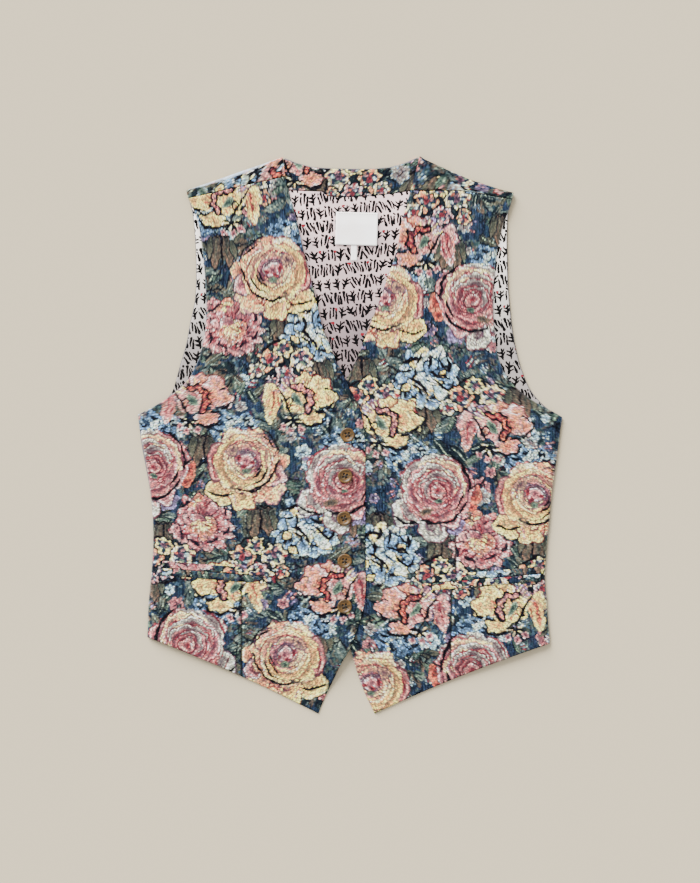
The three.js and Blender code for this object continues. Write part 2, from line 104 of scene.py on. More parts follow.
BACK: tuple[Section, ...] = (
    # left x, left y, right x, right y, from the hem to the shoulder fold
    (-210.5, -209, 207.5, -214.5), (-210, -194.5, 206.5, -203), (-208, -161, 204, -166.5),
    (-206, -140.5, 202.5, -145.5), (-204.5, -114.5, 204, -119.5), (-205, -83, 207.5, -86.5),
    (-208, -57, 210, -57), (-212, -34.5, 213, -34.5), (-216.5, -10.5, 216.5, -5), (-220.5, 21, 220.5, 18.5),
    (-211, 25.5, 208, 25.5), (-199.5, 31.5, 197.5, 34.5), (-191.5, 36.5, 187.5, 47), (-184, 47, 179, 66.5),
    (-178, 67.5, 173.5, 85.5), (-170.5, 93.5, 170, 103), (-166.5, 114.5, 168, 117.5),
    (-162, 135, 166, 137.5), (-160, 156, 164.5, 158), (-160, 177, 164, 179), (-161, 203, 163.5, 203),
    (-163.5, 229, 164.5, 230), (-166.5, 241.5, 167.5, 241.5), (-170, 254, 170, 251.5),
)
LINING: tuple[Section, ...] = (
    # the same columns, drawn in from the edges of the back
    (-202, -197, 198.5, -201), (-200, -161, 196, -166), (-198, -140, 194.5, -145), (-196.5, -114, 196, -119),
    (-197, -83, 199.5, -86), (-200, -57, 202, -57), (-204, -34, 205, -34), (-208.5, -10, 208.5, -5),
    (-211.5, 16, 212, 14), (-204, 27.5, 201.5, 29), (-192, 35, 188.5, 43.8), (-184.8, 44, 180, 62),
    (-177.3, 67.5, 172.7, 85.5), (-169.7, 93.5, 169.2, 103), (-165.7, 114.5, 167.2, 117.5),
    (-161.2, 135, 165.2, 137.5), (-159.2, 156, 163.7, 158), (-159.2, 177, 163.2, 179),
    (-160.2, 203, 162.7, 203), (-162.7, 229, 163.7, 230), (-166.5, 246, 166.8, 243),
)
RIGHT_FOLD: Line = ((-170, 254), (-70, 288.5))
RIGHT_SEAM: Line = ((-168, 245.5), (-67, 268.5))
NECK: Line = (
    (-70, 288.5), (-56.5, 283), (-40.5, 278.5), (-27, 277.5), (0, 276.5), (23, 276.5), (43.5, 278.5),
    (58, 283), (72.5, 289.5),
)
LEFT_FOLD: Line = (
    (72.5, 289.5), (78, 286), (101, 275.5), (125, 265), (156, 255), (170, 251.5),
)
LEFT_SEAM: Line = ((63, 254), (168.5, 245))
LEFT_SEAM_BOW = 3.5
FACING_LOWER: Line = (
    (-78, 254.5), (-62, 254), (-28, 253), (-25, 248.5), (-9, 247), (17.5, 248), (33.5, 249.5), (49.5, 251.5),
    (64.5, 254), (80, 254.5),
)
FACING_UPPER: Line = (
    (-78, 281), (-70.5, 285), (-68.5, 286.4), (-56.5, 282.2), (-40.5, 277.8), (-27, 276.8), (0, 275.9),
    (23, 275.9), (43.5, 277.8), (58, 282.2), (69.8, 287.3), (72, 285.4), (80, 280),
)


def smooth(value: Array | float) -> Array:
    """Ease a value from 0 to 1, flat at both ends: t times t times (3 - 2t)."""
    t = np.clip(value, 0.0, 1.0)
    return t * t * (3.0 - 2.0 * t)


def mix(a: Array | float, b: Array | float, t: Array | float) -> Array:
    """The value a share t of the way from a to b."""
    return a + (b - a) * t


def along(line: Line, at: Array) -> Array:
    """Y of a line of points, at each x."""
    points = np.array(line)
    return np.interp(at, points[:, 0], points[:, 1])


def heading(degrees: float) -> tuple[float, float]:
    """Cosine and sine of an angle."""
    return math.cos(math.radians(degrees)), math.sin(math.radians(degrees))


def seam_bow(t: Array) -> Array:
    """Rise of the wearer's left shoulder seam over a straight line: a squared sine."""
    return LEFT_SEAM_BOW * np.sin(np.pi * t) ** 2


def light_of(screen: Array) -> Array:
    """Share of light to give back for a colour to look so on the screen, up to 0.9.

    The camera's film carries light a to the screen value d, from 0 to 1, by the
    S-shaped curve a = 0.215 (d / (1 - d)) ^ 1.234; the studio sheds STUDIO_LIGHT.
    """
    d = np.clip(screen, 0.01, 0.93)
    return np.clip(0.215 * (d / (1 - d)) ** 1.234 / STUDIO_LIGHT, 0.0, 0.9)


@dataclass(frozen=True)
class Outline:
    """The two edges of a flat piece, as sections from its hem to its top."""

    rows: tuple[Section, ...]
    corner: int

    @property
    def last(self) -> int:
        """Number of the topmost section."""
        return len(self.rows) - 1

    def at(self, place: Array) -> Array:
        """Sections between the table's rows, on a curve that keeps its corner.

        The curve is a Catmull-Rom one: a cubic through two rows, whose slope at
        each is half the step between that row's neighbours.

        Args:
            place: Where each section lies, counted in rows of the table.

        Returns:
            For each: outer x and y, inner x and y.
        """
        table = np.array(self.rows)
        k = np.clip(np.floor(place).astype(int), 0, self.last - 1)
        t = (place - k)[:, None]
        low = np.where(k < self.corner, 0, self.corner)
        high = np.where(k < self.corner, self.corner, self.last)
        a, b = table[np.maximum(k - 1, low)], table[k]
        c, d = table[k + 1], table[np.minimum(k + 2, high)]
        bend = (2 * a - 5 * b + 4 * c - d) * t * t + (3 * b - a - 3 * c + d) * t ** 3
        return 0.5 * (2 * b + (c - a) * t + bend)

    def spread(self, count: int, ends: tuple[float, ...], evenness: float) -> Array:
        """Places of the sections of a grid, closer together where it is wide.

        Args:
            count: How many sections lie between the two rims.
            ends: Distances of the rim's own sections from each end, in mm.
            evenness: 0 for even spacing, 1 for cells of even area.

        Returns:
            The places, counted in rows of the table.
        """
        fine = np.linspace(0, self.last, 60 * self.last + 1)
        row = self.at(fine)
        middle = 0.5 * (row[:, :2] + row[:, 2:])
        step = np.hypot(*np.diff(middle, axis=0).T)
        width = np.hypot(row[:, 2] - row[:, 0], row[:, 3] - row[:, 1])[1:]
        run = np.concatenate([[0.0], np.cumsum(step)])
        weight = np.concatenate([[0.0], np.cumsum(step * width ** evenness)])
        first, final = np.interp([ends[-1] + 1.0, run[-1] - ends[-1] - 1.0], run, weight)
        body = np.interp(np.linspace(first, final, count), weight, fine)
        low = np.interp(ends, run, fine)
        high = np.interp(run[-1] - np.array(ends[::-1]), run, fine)
        return np.concatenate([low, body, high])


@dataclass
class Shell:
    """A closed wall of cloth: a fine upper skin and a plain one under it.

    Both skins are grids of points. The upper one wraps round the rim, and the
    lower one has every stride-th of its rows and columns.
    """

    upper: Array
    lower: Array
    stride: int

    def faces(self) -> tuple[Faces, Array]:
        """Quads of both skins and the triangles that close the gap at the rim.

        The rim's triangles are fans: for each step of the lower skin's edge, the
        fine edge's first half meets its first point and the other half its last.

        Returns:
            The faces, as point numbers, and for each face 0, 1 or 2 for upper
            skin, lower skin or rim.
        """
        fine, coarse = grid_ids(self.upper), grid_ids(self.lower) + self.upper.shape[0] * self.upper.shape[1]
        top, base = grid_quads(fine), grid_quads(coarse)[:, ::-1]
        outer, inner = loop_of(fine), loop_of(coarse)
        steps = len(inner)
        near = np.arange(len(outer)) // self.stride
        late = (np.arange(len(outer)) % self.stride) >= self.stride // 2
        apex = inner[(near + late) % steps]
        fans = np.stack([outer, apex, np.roll(outer, -1)], axis=1)
        turn = np.arange(steps) * self.stride + self.stride // 2
        gaps = np.stack([outer[turn], inner, np.roll(inner, -1)], axis=1)
        faces = faces_of(top, base, fans, gaps)
        kind = np.repeat([0, 1, 2], [len(top), len(base), len(fans) + len(gaps)])
        return faces, kind


def faces_of(*tables: Array) -> Faces:
    """The rows of several tables of point numbers, as faces."""
    return [tuple(row) for table in tables for row in table.tolist()]


def both(upper: Array, lower: Array) -> Array:
    """The points of an upper skin and then those of a lower one."""
    return np.concatenate([upper.reshape(-1, 3), lower.reshape(-1, 3)])


def edge_shares(shape: tuple[int, ...]) -> Array:
    """Share of a wall's thickness at each point of a grid, less at its rim."""
    return np.minimum(rim_shares(shape[1])[None, :], rim_shares(shape[0])[:, None])


def rim_shares(count: int) -> Array:
    """Share of a wall's thickness at each row or column, less at its ends."""
    shares = np.ones(count)
    shares[:3], shares[-3:] = RIM_SHARES, RIM_SHARES[::-1]
    return shares


def stops(length: Array | float, count: int) -> Array:
    """Places across a wall in mm: close at both rims and even between them."""
    length = np.atleast_1d(length)[:, None]
    body = mix(1.6, length - 1.6, np.linspace(0, 1, count)[None, :])
    low = np.broadcast_to(RIM_STOPS, (len(length), 3))
    return np.concatenate([low, body, length - low[:, ::-1]], axis=1)


def grid_ids(grid: Array) -> Array:
    """Point numbers of a grid, row by row."""
    return np.arange(grid.shape[0] * grid.shape[1]).reshape(grid.shape[:2])


def grid_quads(ids: Array) -> Array:
    """The four corners of each cell of a grid, turned to face up."""
    quads = np.stack([ids[:-1, :-1], ids[:-1, 1:], ids[1:, 1:], ids[1:, :-1]], axis=-1)
    return quads.reshape(-1, 4)


def loop_of(ids: Array) -> Array:
    """Point numbers round the edge of a grid, once round."""
    return np.concatenate([ids[0, :-1], ids[:-1, -1], ids[-1, :0:-1], ids[:0:-1, 0]])


def wall_faces(ids: Array, keep: Array) -> tuple[Faces, Array]:
    """Faces of a wall whose two skins have the same points.

    A cell that is kept gives a quad on each skin, and a side wherever its
    neighbour isn't kept.

    Args:
        ids: Point numbers of the upper skin; the lower skin's follow them.
        keep: True for each cell that is cloth.

    Returns:
        The faces, and for each 0, 1 or 2 for upper skin, lower skin or side.
    """
    shift = ids.size
    padded = np.pad(keep, 1)
    cells = keep.nonzero()
    a, b = ids[:-1, :-1][cells], ids[:-1, 1:][cells]
    c, d = ids[1:, 1:][cells], ids[1:, :-1][cells]
    sides = []
    for p, q, dj, di in ((a, b, -1, 0), (b, c, 0, 1), (c, d, 1, 0), (d, a, 0, -1)):
        bare = ~padded[cells[0] + 1 + dj, cells[1] + 1 + di]
        sides.append(np.stack([q, p, p + shift, q + shift], axis=1)[bare])
    top = np.stack([a, b, c, d], axis=1)
    base = np.stack([a, d, c, b], axis=1) + shift
    side = np.concatenate(sides)
    faces = faces_of(top, base, side)
    return faces, np.repeat([0, 1, 2], [len(top), len(base), len(side)])


@dataclass
class Piece:
    name: str
    points: Array
    faces: Faces
    materials: list[Material]
    slots: Array | None = None
    colour: Array | None = None
    rib: Array | None = None
    chart: Array | None = None

    def make(self, slot: str, *nodes: str) -> Object:
        """Put the mesh into the scene and hang it on its body.

        Args:
            slot: Not used.
            nodes: CAD nodes that the piece stands for.

        Returns:
            The new object, at the origin, with its place in its mesh.
        """
        mesh = bpy.data.meshes.new(self.name)
        mesh.from_pydata((self.points.reshape(-1, 3) * MM).tolist(), [], self.faces)
        for material in self.materials:
            mesh.materials.append(material)
        if self.slots is not None:
            mesh.polygons.foreach_set("material_index", self.slots.astype(np.int32))
        mesh.update(calc_edges=True)
        mesh.shade_smooth()
        if self.colour is not None:
            layer = mesh.color_attributes.new(name="Yarn", type="FLOAT_COLOR", domain="POINT")
            layer.data.foreach_set("color", self.colour.ravel())
        if self.rib is not None:
            layer = mesh.attributes.new(name="Rib", type="FLOAT", domain="POINT")
            layer.data.foreach_set("value", self.rib.ravel())
        if self.chart is not None:
            corner = np.zeros(len(mesh.loops), dtype=np.int32)
            mesh.loops.foreach_get("vertex_index", corner)
            mesh.uv_layers.new(name="OFBake").data.foreach_set("uv", self.chart[corner].ravel())
        obj = bpy.data.objects.new(self.name, mesh)
        bpy.context.scene.collection.objects.link(obj)
        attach(obj, BODY)
        if nodes:
            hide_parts(*nodes)
        LOG.info("%s: %d points, %d faces", self.name, len(mesh.vertices), len(mesh.polygons))
        return obj


def chart_of(shape: tuple[int, int], left: float, right: float) -> Array:
    """Texture places of a grid, row by row: its columns and rows, evenly spread."""
    u, v = np.meshgrid(np.linspace(left, right, shape[1]), np.linspace(MARGIN, 1 - MARGIN, shape[0]))
    return np.stack([u.ravel(), v.ravel()], axis=1)


def charts_of(upper: tuple[int, int], lower: tuple[int, int], split: float) -> Array:
    """Texture places of two skins side by side: the upper one has the share split."""
    return np.concatenate([chart_of(upper, MARGIN, split), chart_of(lower, split + 0.02, 1 - MARGIN)])


def wall(name: str, upper: Array, lower: Array, material: Material, split: float = 0.0,
         canvas: "Canvas | None" = None, turned: bool = False) -> Piece:
    """A wall whose two skins are grids of the same size.

    Args:
        name: The piece's name.
        upper: Grid of its upper skin, in mm.
        lower: Grid of its lower skin.
        material: What it is made of.
        split: Share of the texture for the upper skin, or 0 for no texture places.
        canvas: Yarn colours of the upper skin, if it has any.
        turned: True where the rows run from the top down.

    Returns:
        The piece, not yet in the scene.
    """
    shape = upper.shape[:2]
    faces, _ = wall_faces(grid_ids(upper), np.ones((shape[0] - 1, shape[1] - 1), bool))
    if turned:
        faces = [face[::-1] for face in faces]
    piece = Piece(name, both(upper, lower), faces, [material])
    if split:
        piece.chart = charts_of(shape, shape, split)
    if canvas is not None:
        piece.colour, piece.rib = np.tile(canvas.linear(), (2, 1)), np.tile(canvas.rib, 2)
    return piece


def area_of(grid: Array, keep: Array | None = None) -> float:
    """Area of a grid of points, in square metres, from the diagonals of the cells kept."""
    area = np.linalg.norm(np.cross(grid[1:, 1:] - grid[:-1, :-1], grid[1:, :-1] - grid[:-1, 1:]), axis=-1)
    return float(0.5 * area[... if keep is None else keep].sum() * MM * MM)


def tube(path: Array, radius: float, sides: int = 8) -> tuple[Array, Faces]:
    """A round thread along a path: a circle carried along it, square to it.

    Args:
        path: Points of its middle line, in mm.
        radius: Half its thickness, in mm.
        sides: Corners of the circle.

    Returns:
        The points and the faces, closed at both ends.
    """
    ahead = np.gradient(path, axis=0)
    ahead /= np.linalg.norm(ahead, axis=1, keepdims=True)
    across = np.cross(ahead, [0.0, 0.0, 1.0]) + 1e-9
    across /= np.linalg.norm(across, axis=1, keepdims=True)
    up = np.cross(across, ahead)
    turn = np.arange(sides) / sides * 2 * math.pi
    swell = radius * np.sqrt(np.clip(1 - np.linspace(-1, 1, len(path)) ** 8, 0.15, 1))[:, None, None]
    ring = np.cos(turn)[:, None] * across[:, None] + np.sin(turn)[:, None] * up[:, None]
    points = path[:, None] + swell * ring
    ids = grid_ids(points)
    nxt = np.roll(ids, -1, axis=1)
    quads = np.stack([ids[:-1], nxt[:-1], nxt[1:], ids[1:]], axis=-1).reshape(-1, 4)
    faces = faces_of(quads[:, ::-1], ids[:1], ids[-1:, ::-1])
    return points.reshape(-1, 3), faces


def joined(parts: list[tuple[Array, Faces]]) -> tuple[Array, Faces]:
    """Several point and face lists made one."""
    start, faces = 0, []
    for points, some in parts:
        faces += [tuple(k + start for k in face) for face in some]
        start += len(points)
    return np.concatenate([points for points, _ in parts]), faces


GOLDEN = 2.399963
TABLE = 256
LAST = TABLE - 1


def scramble(value: Array) -> Array:
    """A number from 0 to 1 that looks unlike its neighbours'."""
    return np.modf(np.abs(np.sin(value)) * 43758.5453)[0]


class Grain:
    """Repeatable random fields over the cloth, in millimetres."""

    def __init__(self, seed: int) -> None:
        """Draw the tables that every field is read from."""
        self.table = np.random.default_rng(seed).random((4, TABLE, TABLE))

    def soft(self, x: Array, y: Array, cell: float, channel: int = 0) -> Array:
        """Smooth noise from 0 to 1: the values of a lattice, eased between them.

        Args:
            x, y: Places, in mm.
            cell: Spacing of the lattice, in mm.
            channel: Which of the four tables it reads.

        Returns:
            A value for each place.
        """
        gx, gy = x / cell, y / cell
        ix, iy = np.floor(gx).astype(int), np.floor(gy).astype(int)
        fx, fy = smooth(gx - ix), smooth(gy - iy)
        t = self.table[channel]
        ix, iy, jx, jy = ix & LAST, iy & LAST, (ix + 1) & LAST, (iy + 1) & LAST
        return mix(mix(t[ix, iy], t[jx, iy], fx), mix(t[ix, jy], t[jx, jy], fx), fy)

    def dabs(self, x: Array, y: Array, cell: float, channel: int = 0) -> Array:
        """A number for each brush dab: that of the nearest scattered centre.

        Args:
            x, y: Places, in mm.
            cell: Mean spacing of the centres, in mm.
            channel: 0 or 1, for two sets of numbers.

        Returns:
            A value from 0 to 1 for each place, the same all over a dab.
        """
        gx, gy = x / cell, y / cell
        ix, iy = np.floor(gx).astype(int), np.floor(gy).astype(int)
        best = np.full(x.shape, np.inf)
        value = np.zeros(x.shape)
        for ox in (-1, 0, 1):
            for oy in (-1, 0, 1):
                across, up, one, other = self.table[:, (ix + ox) & LAST, (iy + oy) & LAST]
                gap = (gx - ix - ox - across) ** 2 + (gy - iy - oy - up) ** 2
                near = gap < best
                best = np.where(near, gap, best)
                value = np.where(near, (one, other)[channel], value)
        return value


def tint(colours: Colours, value: Array) -> Array:
    """A colour for each number from 0 to 1, each colour for an even share."""
    table = np.array(colours, dtype=float) / 255.0
    return table[(np.clip(value, 0.0, 0.999) * len(colours)).astype(int)]


class Yarn:
    """The yarn colours, as they look on a screen, red, green and blue of 255.

    In a group that a petal is filled from, the darkest comes first: it goes to
    the root or the overlapped side, and the lightest to the rim.
    """

    DYE = 0.79
    DEPTH = 1.12
    BALANCE = (0.975, 1.0, 1.02)
    GROUND: Colours = (
        (62, 92, 132), (44, 66, 106), (80, 112, 148), (58, 96, 124), (76, 92, 130), (36, 54, 90),
    )
    LEAF: Colours = (
        (64, 92, 108), (38, 56, 78), (106, 136, 128), (150, 164, 156), (112, 118, 100),
        (42, 60, 96), (112, 102, 128), (76, 114, 116), (146, 134, 120), (98, 132, 152),
    )
    OLIVE: Colours = ((80, 86, 78), (116, 118, 98), (144, 138, 112), (174, 160, 132))
    GREEN: Colours = ((62, 94, 90), (96, 126, 110), (132, 154, 132), (166, 182, 154))
    SAGE: Colours = ((76, 100, 106), (112, 134, 130), (148, 162, 152), (184, 190, 176))
    DEEP: Colours = ((26, 40, 58), (38, 58, 70), (54, 80, 86))
    PALE_VEIN: Colours = ((176, 184, 168), (200, 202, 182))
    BLACK: Colours = ((20, 14, 26), (32, 22, 36))
    INK: Colours = ((18, 22, 40), (32, 34, 54))
    CREAM: Colours = ((208, 162, 140), (230, 200, 164), (240, 220, 180), (246, 236, 206))
    BUTTER: Colours = ((206, 166, 116), (228, 198, 138), (240, 218, 158), (246, 232, 184))
    PEACH: Colours = ((192, 124, 100), (220, 160, 126), (238, 190, 148), (244, 218, 178))
    ROSE: Colours = ((162, 88, 100), (196, 122, 126), (216, 158, 150), (236, 198, 184))
    BLUSH: Colours = ((168, 96, 112), (206, 140, 144), (228, 184, 176), (242, 220, 210))
    MINT: Colours = ((150, 112, 118), (186, 168, 160), (214, 208, 194), (238, 232, 218))
    CRIMSON: Colours = ((154, 48, 72), (192, 72, 90), (210, 102, 110))
    SKY: Colours = ((88, 120, 154), (130, 162, 186), (170, 194, 208), (206, 218, 216))
    FROST: Colours = ((146, 162, 174), (192, 204, 204), (222, 224, 210), (240, 234, 212))
    STEEL: Colours = ((48, 74, 114), (84, 116, 152))
    LILAC: Colours = ((118, 96, 136), (162, 142, 170), (200, 186, 206))
    MAUVE: Colours = ((102, 60, 92), (144, 96, 122), (180, 130, 144))
    BUD: Colours = ((84, 78, 76), (124, 108, 94), (156, 130, 106), (188, 152, 124))
    CORAL: Colours = ((172, 70, 72), (206, 106, 92), (226, 142, 112), (240, 178, 138))


Y = Yarn


class Canvas:
    """The yarn colour of every point of one piece of jacquard."""

    STRIDE = 2654435761
    FLECKS = 0.26
    SHOW = 0.30
    UNEVEN = 0.30

    def __init__(self, x: Array, y: Array, seed: int) -> None:
        """Start from the points' places on the flat cloth, in mm."""
        self.x, self.y = x.ravel(), y.ravel()
        self.grain = Grain(seed)
        self.rgb = np.zeros((self.x.size, 3))
        self.rib = np.ones(self.x.size)
        self.dab = self.grain.dabs(self.x * 1.25, self.y * 0.85, 2.6)
        self.fleck = self.grain.dabs(self.x, self.y, 1.5, 1)

    def ground(self) -> None:
        """Blue ribbed ground, under a thicket of small leaf dabs."""
        blue = tint(Y.GROUND, self.grain.dabs(self.x * 2.2, self.y * 0.45, 3.0, 1))
        leaf = tint(Y.LEAF, self.dab)
        grain = self.grain.soft
        thicket = 0.55 * grain(self.x, self.y, 15.0) + 0.45 * grain(self.x, self.y, 5.0, 1)
        cover = smooth((thicket - 0.47) / 0.04)
        self.rgb = mix(blue, leaf, cover[:, None])
        self.rib = 1 - cover

    def weave(self) -> None:
        """Flecks of the other yarns, which show through all over."""
        shade = self.grain.table[3].ravel()
        pick = np.arange(self.x.size) * self.STRIDE % shade.size
        light = shade[pick][:, None] - 0.5
        other = tint(Y.LEAF + Y.FROST[1:3] + Y.INK + Y.BLACK, self.fleck)
        show = shade[(pick * 7 + 13) % shade.size][:, None] > 1 - self.FLECKS
        self.rgb = np.clip(mix(self.rgb, other, show * self.SHOW) * (1 + self.UNEVEN * light), 0, 1)

    def scatter(self, kinds: tuple["Motif", ...], spacing: float, seed: int, large: float = 1.15) -> None:
        """Small motifs all over, one in each cell of a shaken lattice.

        Args:
            kinds: The motifs to choose from.
            spacing: Size of a cell, in mm.
            seed: Start of the random draws.
            large: Size of the largest; the smallest has six tenths of it.
        """
        rng = np.random.default_rng(seed)
        for gx in np.arange(self.x.min(), self.x.max() + spacing, spacing):
            for gy in np.arange(self.y.min(), self.y.max() + spacing, spacing):
                shake = rng.uniform(-0.45, 0.45, 2) * spacing
                turn, size = rng.uniform(0, 360), rng.uniform(0.6 * large, large)
                kind = kinds[rng.integers(len(kinds))]
                self.draw(kind, Place(gx + shake[0], gy + shake[1], turn, size))

    def draw(self, kind: "Motif", place: "Place") -> None:
        """Weave one motif, unless it lies off the piece."""
        flower = kind.value(self, place)
        if flower.pick.size:
            flower.draw()
            flower.done()

    def lay_pale(self, colour: Colour, cover: Array) -> None:
        """Lay a pale colour over the points, by a cover from 0 to 1."""
        self.rgb += (np.array(colour) / 255 - self.rgb) * cover[:, None]

    def linear(self) -> Array:
        """The colours as shares of light, with full cover, for an attribute."""
        grey = self.rgb @ (0.30, 0.59, 0.11)
        dyed = np.clip(mix(grey[:, None], self.rgb, Y.DYE) ** Y.DEPTH * Y.BALANCE, 0, 1)
        return np.concatenate([light_of(dyed), np.ones((len(dyed), 1))], axis=1)


@dataclass(frozen=True)
class Place:
    """Where a flower is woven: its middle in mm, turn, size and hand."""

    x: float
    y: float
    turn: float = 0.0
    size: float = 1.0
    mirror: bool = False


class Flower:
    """Strokes laid on a canvas in one flower's own millimetres."""

    REACH: ClassVar[float] = 40.0
    SOFT: ClassVar[float] = 0.5
    WARP: ClassVar[Line] = (
        # cell and reach of the noise that bends a flower, in mm
        (7.0, 2.6), (2.6, 0.6),
    )

    def __init__(self, canvas: Canvas, place: Place) -> None:
        """Take up the points within reach of the flower's middle."""
        dx, dy = canvas.x - place.x, canvas.y - place.y
        self.pick = np.nonzero(dx * dx + dy * dy < (self.REACH * place.size) ** 2)[0]
        dx, dy = dx[self.pick], dy[self.pick]
        c, s = heading(place.turn)
        self.u = (dx * c + dy * s) / place.size * (-1 if place.mirror else 1)
        self.v = (-dx * s + dy * c) / place.size
        soft = canvas.grain.soft
        for cell, reach in self.WARP:
            self.u = self.u + reach * (soft(dx + place.x + 900, dy + place.y + 900, cell) - 0.5)
            self.v = self.v + reach * (soft(dx + place.x + 900, dy + place.y + 900, cell, 1) - 0.5)
        self.place, self.canvas = place, canvas
        self.rgb, self.rib, self.fleck = canvas.rgb[self.pick], canvas.rib[self.pick], canvas.fleck[self.pick]
        self.wobble = soft(self.u + place.x * 0.37 + 300, self.v + place.y * 0.53 + 300, 3.2) - 0.5

    def draw(self) -> None:
        """Lay the flower's strokes, the ones below first."""
        raise NotImplementedError

    def done(self) -> None:
        """Put the strokes back on the canvas."""
        self.canvas.rgb[self.pick], self.canvas.rib[self.pick] = self.rgb, self.rib

    def lay(self, cover: Array, colour: Array) -> None:
        """Lay a colour over the points, by a cover from 0 to 1."""
        cover = np.clip(cover, 0, 1)
        self.rgb += (colour - self.rgb) * cover[:, None]
        self.rib *= 1 - cover

    def polar(self, cx: float, cy: float, squash: float = 1.0, turn: float = 0.0) -> tuple[Array, Array]:
        """Distance and angle about a point, on a turned ellipse."""
        du, dv = self.u - cx, self.v - cy
        c, s = heading(turn)
        a, b = du * c + dv * s, (-du * s + dv * c) / squash
        return np.hypot(a, b), np.arctan2(b, a)

    def flow(self, across: Array, along: Array, width: float = 1.5, length: float = 8.0) -> Array:
        """A number from 0 to 1 for each short piece of yarn, laid in bands.

        The distances across and along the bands, and the width of a band and
        length of a piece, are in mm.
        """
        band = np.floor(across / width + 0.9 * self.wobble)
        part = np.floor(along / length + 7.3 * np.sin(2.7 * band) + 0.6 * self.wobble)
        return scramble(band * 12.9898 + part * 78.233)

    def blob(self, cx: float, cy: float, r: float, colours: Colours, squash: float = 1.0,
             turn: float = 0.0, lobes: int = 5, depth: float = 0.08, phase: float = 0.0,
             edge: Colours | None = None) -> None:
        """A rounded petal: an ellipse whose radius rises and falls round it.

        Args:
            cx, cy, r: Its middle and radius.
            colours: Its yarns.
            squash, turn: Height over width of the ellipse, and its turn in degrees.
            lobes, depth, phase: How often its edge waves, how far as a share of
                the radius, and where the waves start.
            edge: Yarns of a narrow rim, or none.
        """
        dist, angle = self.polar(cx, cy, squash, turn)
        rim = r * (1 + depth * np.sin(lobes * angle + phase) + 0.16 * self.wobble)
        if edge is not None:
            self.lay((rim + 1.3 - dist) / self.SOFT + 0.5, tint(edge, self.fleck))
        tone = np.clip(1 - (rim - dist) / max(0.7 * r, 2.0), 0, 1)
        value = 0.32 + 0.50 * tone + 0.40 * (self.flow(dist, angle * dist) - 0.5)
        self.lay((rim - dist) / self.SOFT + 0.5, tint(colours, value))

    def furl(self, cx: float, cy: float, reach: float, count: int, fills: tuple[Colours, ...], lines: Colours,
             squash: float = 1.0, heart: float = 0.2, spin: float = 137.5, start: float = 0.0) -> None:
        """Overlapping round petals, outermost first, that close to a heart.

        Each is a disc whose radius shrinks and whose middle comes in on a
        sunflower spiral, so that only a crescent of it is left to see.

        Args:
            cx, cy: The heart.
            reach, count: Radius of the outermost petal, and how many there are.
            fills, lines: Yarns of the petals, in turn, and of the broken line round each.
            squash: Height over width.
            heart: Radius of the last one, as a share of the first.
            spin, start: Turn from one petal to the next and of the first, in degrees.
        """
        for k in range(count):
            share = 1 - k / count
            (c, s), r = heading(spin * k + start), reach * mix(heart, 1.0, share)
            out = 0.15 * reach * share
            dist, angle = self.polar(cx + out * c, cy + out * s * squash, squash)
            rim = 0.9 * r * (1 + 0.035 * np.sin(5 * angle + k) + 0.12 * self.wobble)
            broken = smooth(0.9 + 1.2 * np.sin(angle * (1 + k % 2) + 2.1 * k))
            self.lay(np.minimum((rim + 0.7 - dist) / self.SOFT + 0.5, broken), tint(lines, self.fleck))
            tone = np.clip(1 - (rim - dist) / (0.16 * reach), 0, 1)
            value = 0.22 + 0.60 * tone + 0.40 * (self.flow(dist, angle * dist, 1.3, 10.0) - 0.5)
            self.lay((rim - 0.4 - dist) / self.SOFT + 0.5, tint(fills[k % len(fills)], value))

    def arc(self, cx: float, cy: float, r: float, start: float, end: float, width: float,
            colours: Colours = Y.BLACK) -> None:
        """A curved line about a point, thickest in its middle; angles are in degrees."""
        dist, angle = self.polar(cx, cy)
        share = np.mod(np.degrees(angle) - start, 360.0) / (end - start)
        swell = np.clip(4 * share * (1 - share), 0, 1) ** 0.4
        cover = (0.56 * width * swell * (1 + 0.9 * self.wobble) - np.abs(dist - r)) / self.SOFT + 0.5
        self.lay(np.where((share > 0) & (share < 1), cover, 0), tint(colours, self.fleck))

    def stroke(self, points: Line, width: float, colours: Colours = Y.BLACK, taper: bool = True) -> None:
        """A line through points, thinner towards its ends unless told not to be."""
        best = np.full(self.u.shape, np.inf)
        where = np.zeros(self.u.shape)
        count = len(points) - 1
        for k, ((ax, ay), (bx, by)) in enumerate(zip(points, points[1:])):
            dx, dy = bx - ax, by - ay
            t = np.clip(((self.u - ax) * dx + (self.v - ay) * dy) / (dx * dx + dy * dy + 1e-9), 0, 1)
            gap = np.hypot(self.u - ax - t * dx, self.v - ay - t * dy)
            near = gap < best
            best, where = np.where(near, gap, best), np.where(near, (k + t) / count, where)
        swell = np.clip(4 * where * (1 - where), 0, 1) ** 0.35 if taper else 1.0
        half = 0.54 * width * swell * (1 + 0.7 * self.wobble)
        self.lay((half - best) / self.SOFT + 0.5, tint(colours, self.fleck))

    def ray(self, angle: float, near: Section, far: Section, width: float, colours: Colours) -> None:
        """A stroke from one ellipse to another, each given by its middle and radii."""
        c, s = heading(angle)
        self.stroke(tuple((x + a * c, y + b * s) for x, y, a, b in (near, far)), width, colours)

